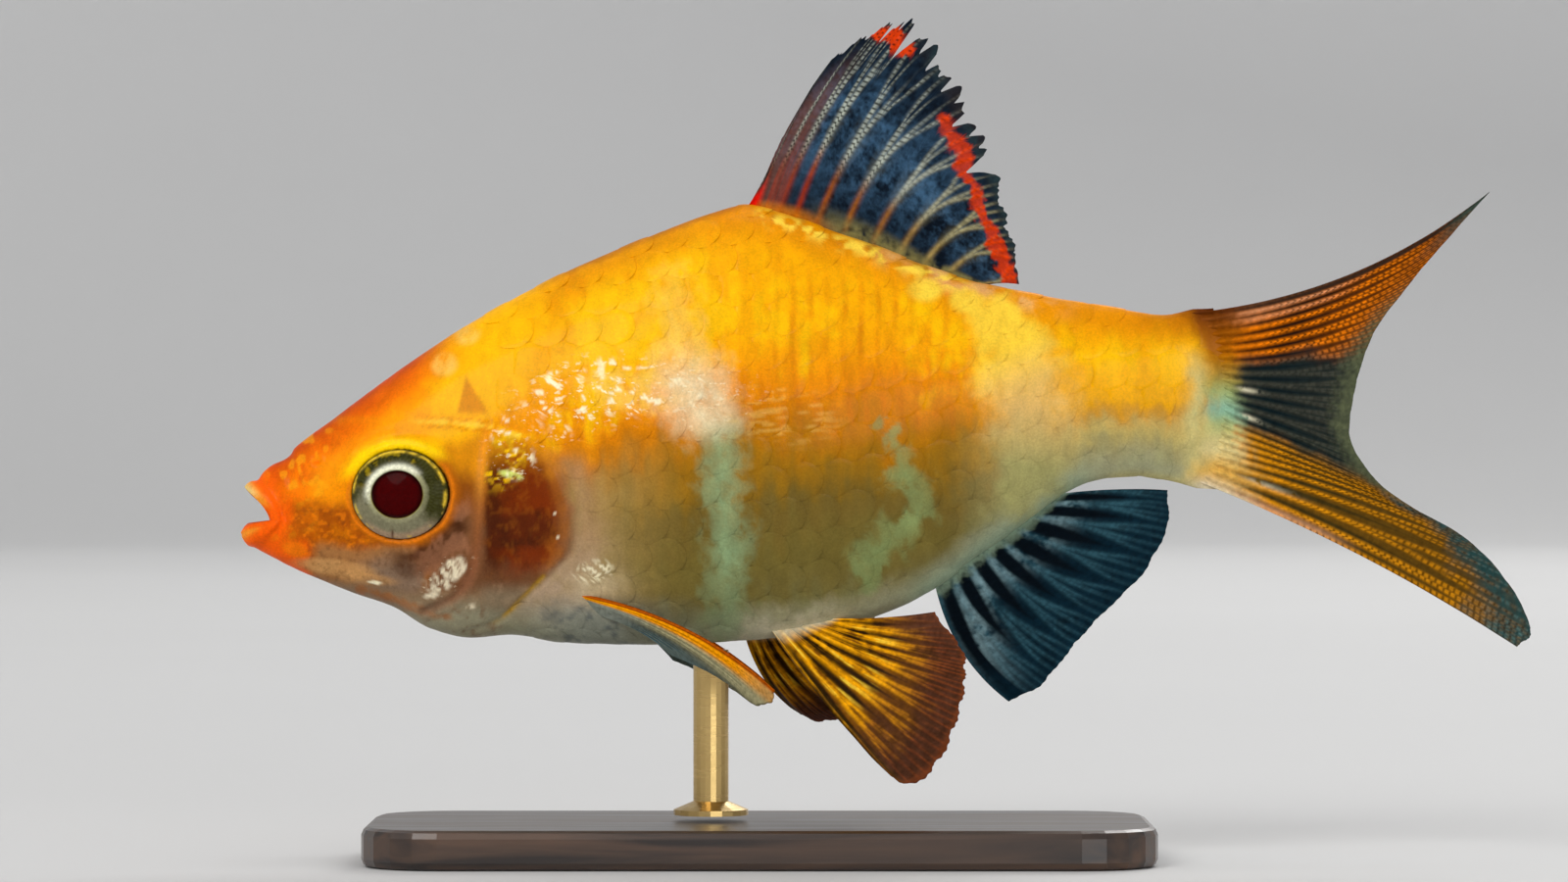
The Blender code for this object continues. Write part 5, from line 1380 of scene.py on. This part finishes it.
def make_fins(material):
    """Every fin, each in place of its solids."""
    fins = [
        ("dorsal", "", dorsal_surface, dorsal_paint, "fin_dark", ("dorsal_fin",), 1),
        ("anal", "", anal_surface, anal_paint, "fin_dark", ("anal_fin",), 2),
        ("tail", "", tail_surface, tail_paint, "fin_tail", ("tail_fin_upper", "tail_fin_lower"), 3),
    ]
    for side, word in SIDES:
        for kind, surface, paint, seed in (
            ("pectoral", pectoral_surface(side), pectoral_paint, 4),
            ("pelvic", pelvic_surface(side), pelvic_paint, 5),
        ):
            nodes = (kind + "_fin_" + word,)
            fins.append((kind, "_" + word, surface, paint, "fin_gold", nodes, seed))
    for kind, ending, surface, paint, slot, nodes, seed in fins:
        rays = np.linspace(0, 1, RAY_COUNTS[kind]) if kind in RAY_COUNTS else DORSAL_RAYS
        look = FIN_LOOK | FIN_LOOKS[kind]
        fin_piece("fin_" + kind + ending, surface, rays, look, paint, material, nodes, seed)


# Materials
NOISE_RANGE = 0.3, 0.7
WET_IOR = 1.33


def new_material(name):
    made = bpy.data.materials.new(name)
    made.use_nodes = True
    tree = made.node_tree
    return made, tree, tree.nodes["Principled BSDF"]


def fill(tree, made, values):
    """Give a node's inputs their values, or link them to the sockets that feed them."""
    for key, value in values.items():
        if isinstance(value, bpy.types.NodeSocket):
            tree.links.new(value, made.inputs[key])
        else:
            made.inputs[key].default_value = value


def node(tree, kind, values=(), **settings):
    """A shader node with its settings, and with values or links for its inputs."""
    made = tree.nodes.new(kind)
    for key, value in settings.items():
        setattr(made, key, value)
    fill(tree, made, dict(values))
    return made


def attribute(tree, name):
    return node(tree, "ShaderNodeAttribute", attribute_name=name).outputs


def worked_out(tree, operation, *values):
    """The outcome of one sum, of numbers or sockets."""
    return node(tree, "ShaderNodeMath", dict(enumerate(values)), operation=operation).outputs[0]


def object_place(tree):
    return node(tree, "ShaderNodeTexCoord").outputs["Object"]


def noise(tree, scale, detail=4.0, roughness=0.55, stretch=(1.0, 1.0, 1.0), distortion=0.0):
    values = {"Vector": object_place(tree), "Scale": stretch}
    values = {"Vector": node(tree, "ShaderNodeMapping", values).outputs[0], "Scale": scale}
    values |= {"Detail": detail, "Roughness": roughness, "Distortion": distortion}
    return node(tree, "ShaderNodeTexNoise", values).outputs["Fac"]


def remap(tree, value, low, high, new_low, new_high):
    values = {0: value, 1: low, 2: high, 3: new_low, 4: new_high}
    return node(tree, "ShaderNodeMapRange", values).outputs[0]


def varied(tree, low, high, *pattern):
    """Noise that varies between low and high; pattern is what noise() takes."""
    return remap(tree, noise(tree, *pattern), *NOISE_RANGE, low, high)


def mixed(tree, under, over, share, blend_type="MIX"):
    values = {"Factor": share, 6: under, 7: over}
    return node(tree, "ShaderNodeMix", values, data_type="RGBA", blend_type=blend_type).outputs[2]


def grey(tree, tone):
    return node(tree, "ShaderNodeCombineColor", {0: tone, 1: tone, 2: tone}).outputs[0]


def scaled_colour(tree, colour, factor):
    return mixed(tree, colour, grey(tree, factor), 1.0, "MULTIPLY")


def ramp(tree, value, dark, light, start=0.0, end=1.0):
    """A colour from dark, where value is start or less, to light, where it is end or more."""
    made = node(tree, "ShaderNodeValToRGB", {0: value})
    for element, at, colour in zip(made.color_ramp.elements, (start, end), (dark, light)):
        element.position = at
        element.color = (*colour, 1)
    return made.outputs[0]


def bump(tree, height, strength, distance):
    values = {"Height": height, "Strength": strength, "Distance": distance}
    return node(tree, "ShaderNodeBump", values).outputs["Normal"]


def painted(name, roughness, subsurface):
    """Skin that takes its markings from the Paint colours, with mottling, pores and painted glints."""
    made, tree, shader = new_material(name)
    paint = attribute(tree, "Paint")
    streaky = varied(tree, 0.9, 1.1, 1500, 4.0, 0.55, (1.0, 1.0, 0.45))
    grain = varied(tree, 0.9, 1.1, 9000, 2.0)
    base = scaled_colour(tree, paint["Color"], worked_out(tree, "MULTIPLY", streaky, grain))
    # Painted glints: tiny warm-white highlights, thickest where the Paint alpha is high
    dashes = remap(tree, noise(tree, 2600, 2.0, 0.5, (1.0, 1.0, 1.8)), 0.62, 0.7, 0.0, 0.9)
    flecks = worked_out(tree, "MULTIPLY", dashes, paint["Alpha"])
    fill(tree, shader, {
        "Base Color": mixed(tree, base, (*GLINT, 1), flecks),
        "Roughness": varied(tree, roughness - 0.07, roughness + 0.1, 2400),
        "Specular IOR Level": 0.03,
        "Coat Weight": 0.1,
        "Coat IOR": WET_IOR,
        "Coat Roughness": 0.12,
        "Subsurface Weight": subsurface,
        "Subsurface Radius": (1.0, 0.5, 0.25),
        "Subsurface Scale": 0.3 * MM,
        "Normal": bump(tree, noise(tree, 7000, 3.0), 0.25, 0.04 * MM),
    })
    return made


def fin_material():
    """Web and rays from the Paint colours, with joints across the rays along their length."""
    made, tree, shader = new_material("fin_web")
    strength = attribute(tree, "Joint")["Fac"]
    lengths = node(tree, "ShaderNodeUVMap", uv_map="Length").outputs["UV"]
    parts = node(tree, "ShaderNodeSeparateXYZ", {0: lengths}).outputs
    turns = worked_out(tree, "ADD", parts["Y"], parts["X"])
    wave = worked_out(tree, "COSINE", worked_out(tree, "MULTIPLY", turns, 2 * math.pi))
    joint = remap(tree, wave, -0.1, 0.9, 0.0, 1.0)
    bright = worked_out(tree, "SUBTRACT", 1.0, worked_out(tree, "MULTIPLY", joint, strength))
    factor = worked_out(tree, "MULTIPLY", varied(tree, 0.78, 1.22, 3500), bright)
    fill(tree, shader, {
        "Base Color": scaled_colour(tree, attribute(tree, "Paint")["Color"], factor),
        "Roughness": varied(tree, 0.38, 0.56, 2600),
        "Specular IOR Level": 0.015,
        "Coat Weight": 0.03,
        "Coat IOR": WET_IOR,
        "Coat Roughness": 0.2,
        "Normal": bump(tree, joint, 0.3, 0.03 * MM),
    })
    return made


def eye_material():
    made, tree, shader = new_material("eye_wet")
    fleck = varied(tree, 0.8, 1.2, 6000, 3.0)
    fill(tree, shader, {
        "Base Color": scaled_colour(tree, attribute(tree, "Paint")["Color"], fleck),
        "Roughness": 0.4,
        "Specular IOR Level": 0.01,
        "Coat Weight": 0.07,
        "Coat IOR": WET_IOR,
        "Coat Roughness": 0.05,
        "Normal": bump(tree, noise(tree, 8000, 2.0), 0.08, 0.02 * MM),
    })
    return made


def wood_material():
    made, tree, shader = new_material("stand_walnut")
    grain = noise(tree, 1.0, 6.0, 0.5, (60, 900, 900), 0.6)
    fill(tree, shader, {
        "Base Color": ramp(tree, grain, (0.012, 0.006, 0.004), (0.075, 0.036, 0.018), 0.36, 0.66),
        "Roughness": remap(tree, grain, *NOISE_RANGE, 0.3, 0.45),
        "Coat Weight": 0.3,
        "Coat Roughness": 0.2,
        "Normal": bump(tree, grain, 0.15, 0.05 * MM),
    })
    return made


def brass_material():
    made, tree, shader = new_material("stand_brass")
    lines = noise(tree, 1.0, 3.0, 0.5, (400, 400, 9000))
    fill(tree, shader, {
        "Base Color": ramp(tree, noise(tree, 300), (0.42, 0.27, 0.09), (0.72, 0.52, 0.22)),
        "Roughness": remap(tree, lines, *NOISE_RANGE, 0.24, 0.38),
        "Metallic": 1.0,
        "Normal": bump(tree, lines, 0.1, 0.01 * MM),
    })
    return made


def floor_material():
    """Pale and plain, a little paler towards the wall, which gets less light."""
    made, tree, shader = new_material("studio_pale")
    height = node(tree, "ShaderNodeSeparateXYZ", {0: object_place(tree)}).outputs["Z"]
    tone = remap(tree, height, 0.0, 0.3, 0.6, 0.84)
    tone = worked_out(tree, "MULTIPLY", tone, varied(tree, 0.98, 1.02, 3))
    fill(tree, shader, {"Base Color": grey(tree, tone), "Roughness": 0.7})
    return made


def dress_stand():
    finishes = {"stand_base": wood_material(), "stand_rod": brass_material()}
    for name, finish in finishes.items():
        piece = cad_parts[name]
        for held in piece.material_slots:
            held.material = finish


# Studio
CAMERA_PLACE = (-5.15, -322.0, 21.35)
LENS, SENSOR = 145.0, 36.0
STAGE_RADIUS, STAGE_CURVE, STAGE_HEIGHT = 1.5, 0.5, 1.6
STAGE_ARC_STEPS, STAGE_TURN_STEPS = 16, 96
LIGHT_AIM = (0, 0, 0.02)

# Name, place, width, power and tint
LIGHTS = (
    ("key", (-0.5, -0.8, 0.65), 0.6, 5.8, (1.0, 0.98, 0.95)),
    ("fill", (0.4, -0.85, 0.08), 0.5, 2.8, (0.97, 0.99, 1.0)),
    ("top", (0.0, 0.1, 0.9), 0.5, 1.2, (1.0, 1.0, 1.0)),
    ("back", (0.4, 0.8, 0.6), 0.6, 4.0, (1.0, 0.99, 0.97)),
)
AIR_COLOUR, AIR_STRENGTH = (0.97, 0.98, 1.0, 1), 0.5


def make_floor():
    """A round pale floor whose edge curves up into a wall all round."""
    flat = STAGE_RADIUS - STAGE_CURVE
    profile = [(0.0, 0.0), (0.3, 0.0), (0.7, 0.0)]
    for k in range(STAGE_ARC_STEPS + 1):
        angle = math.pi / 2 * k / STAGE_ARC_STEPS
        profile.append(
            (flat + STAGE_CURVE * math.sin(angle), STAGE_CURVE * (1 - math.cos(angle)))
        )
    profile.append((STAGE_RADIUS, STAGE_HEIGHT))
    mesh = bpy.data.meshes.new("studio_floor")
    edges = [(k, k + 1) for k in range(len(profile) - 1)]
    mesh.from_pydata([(radius, 0, height) for radius, height in profile], edges, [])
    mesh.materials.append(floor_material())
    floor = add_object("studio_floor", mesh)
    turn = floor.modifiers.new("turn", "SCREW")
    turn.steps = turn.render_steps = STAGE_TURN_STEPS
    turn.use_merge_vertices = True
    turn.merge_threshold = 0.0001
    turn.use_smooth_shade = True


def make_lights():
    """Soft round lights that face the fish, and a dim, even light from all round."""
    for name, place, size, power, tint in LIGHTS:
        data = bpy.data.lights.new(name, "AREA")
        data.shape = "DISK"
        data.size = size
        data.energy = power
        data.color = tint
        aim = Vector(LIGHT_AIM) - Vector(place)
        add_object(name, data, place).rotation_euler = aim.to_track_quat("-Z", "Y").to_euler()
    world = bpy.data.worlds.new("studio_air")
    world.use_nodes = True
    air = {"Color": AIR_COLOUR, "Strength": AIR_STRENGTH}
    fill(world.node_tree, world.node_tree.nodes["Background"], air)
    bpy.context.scene.world = world


def make_camera():
    """A camera at the photo's side of the fish, level and square to it."""
    lens = bpy.data.cameras.new("camera")
    lens.lens, lens.sensor_width = LENS, SENSOR
    lens.clip_start, lens.clip_end = 0.01, 10.0
    camera = add_object("camera", lens, Vector(CAMERA_PLACE) * MM)
    camera.rotation_euler = (math.pi / 2, 0, 0)
    bpy.context.scene.camera = camera
    bpy.context.scene.view_settings.view_transform = "Standard"


make_floor()
make_lights()
make_camera()
girth = Girth()
make_skin(painted("skin_moist", 0.42, 0.03))
scale_finish = painted("scale_sheen", 0.4, 0.02)
for side, word in SIDES:
    for part, rows in SCALE_SHEETS.items():
        make_scales(girth, side, word + "_" + part, rows, scale_finish)
wet = eye_material()
for side, word in SIDES:
    make_eye(side, word, wet)
make_fins(fin_material())
dress_stand()
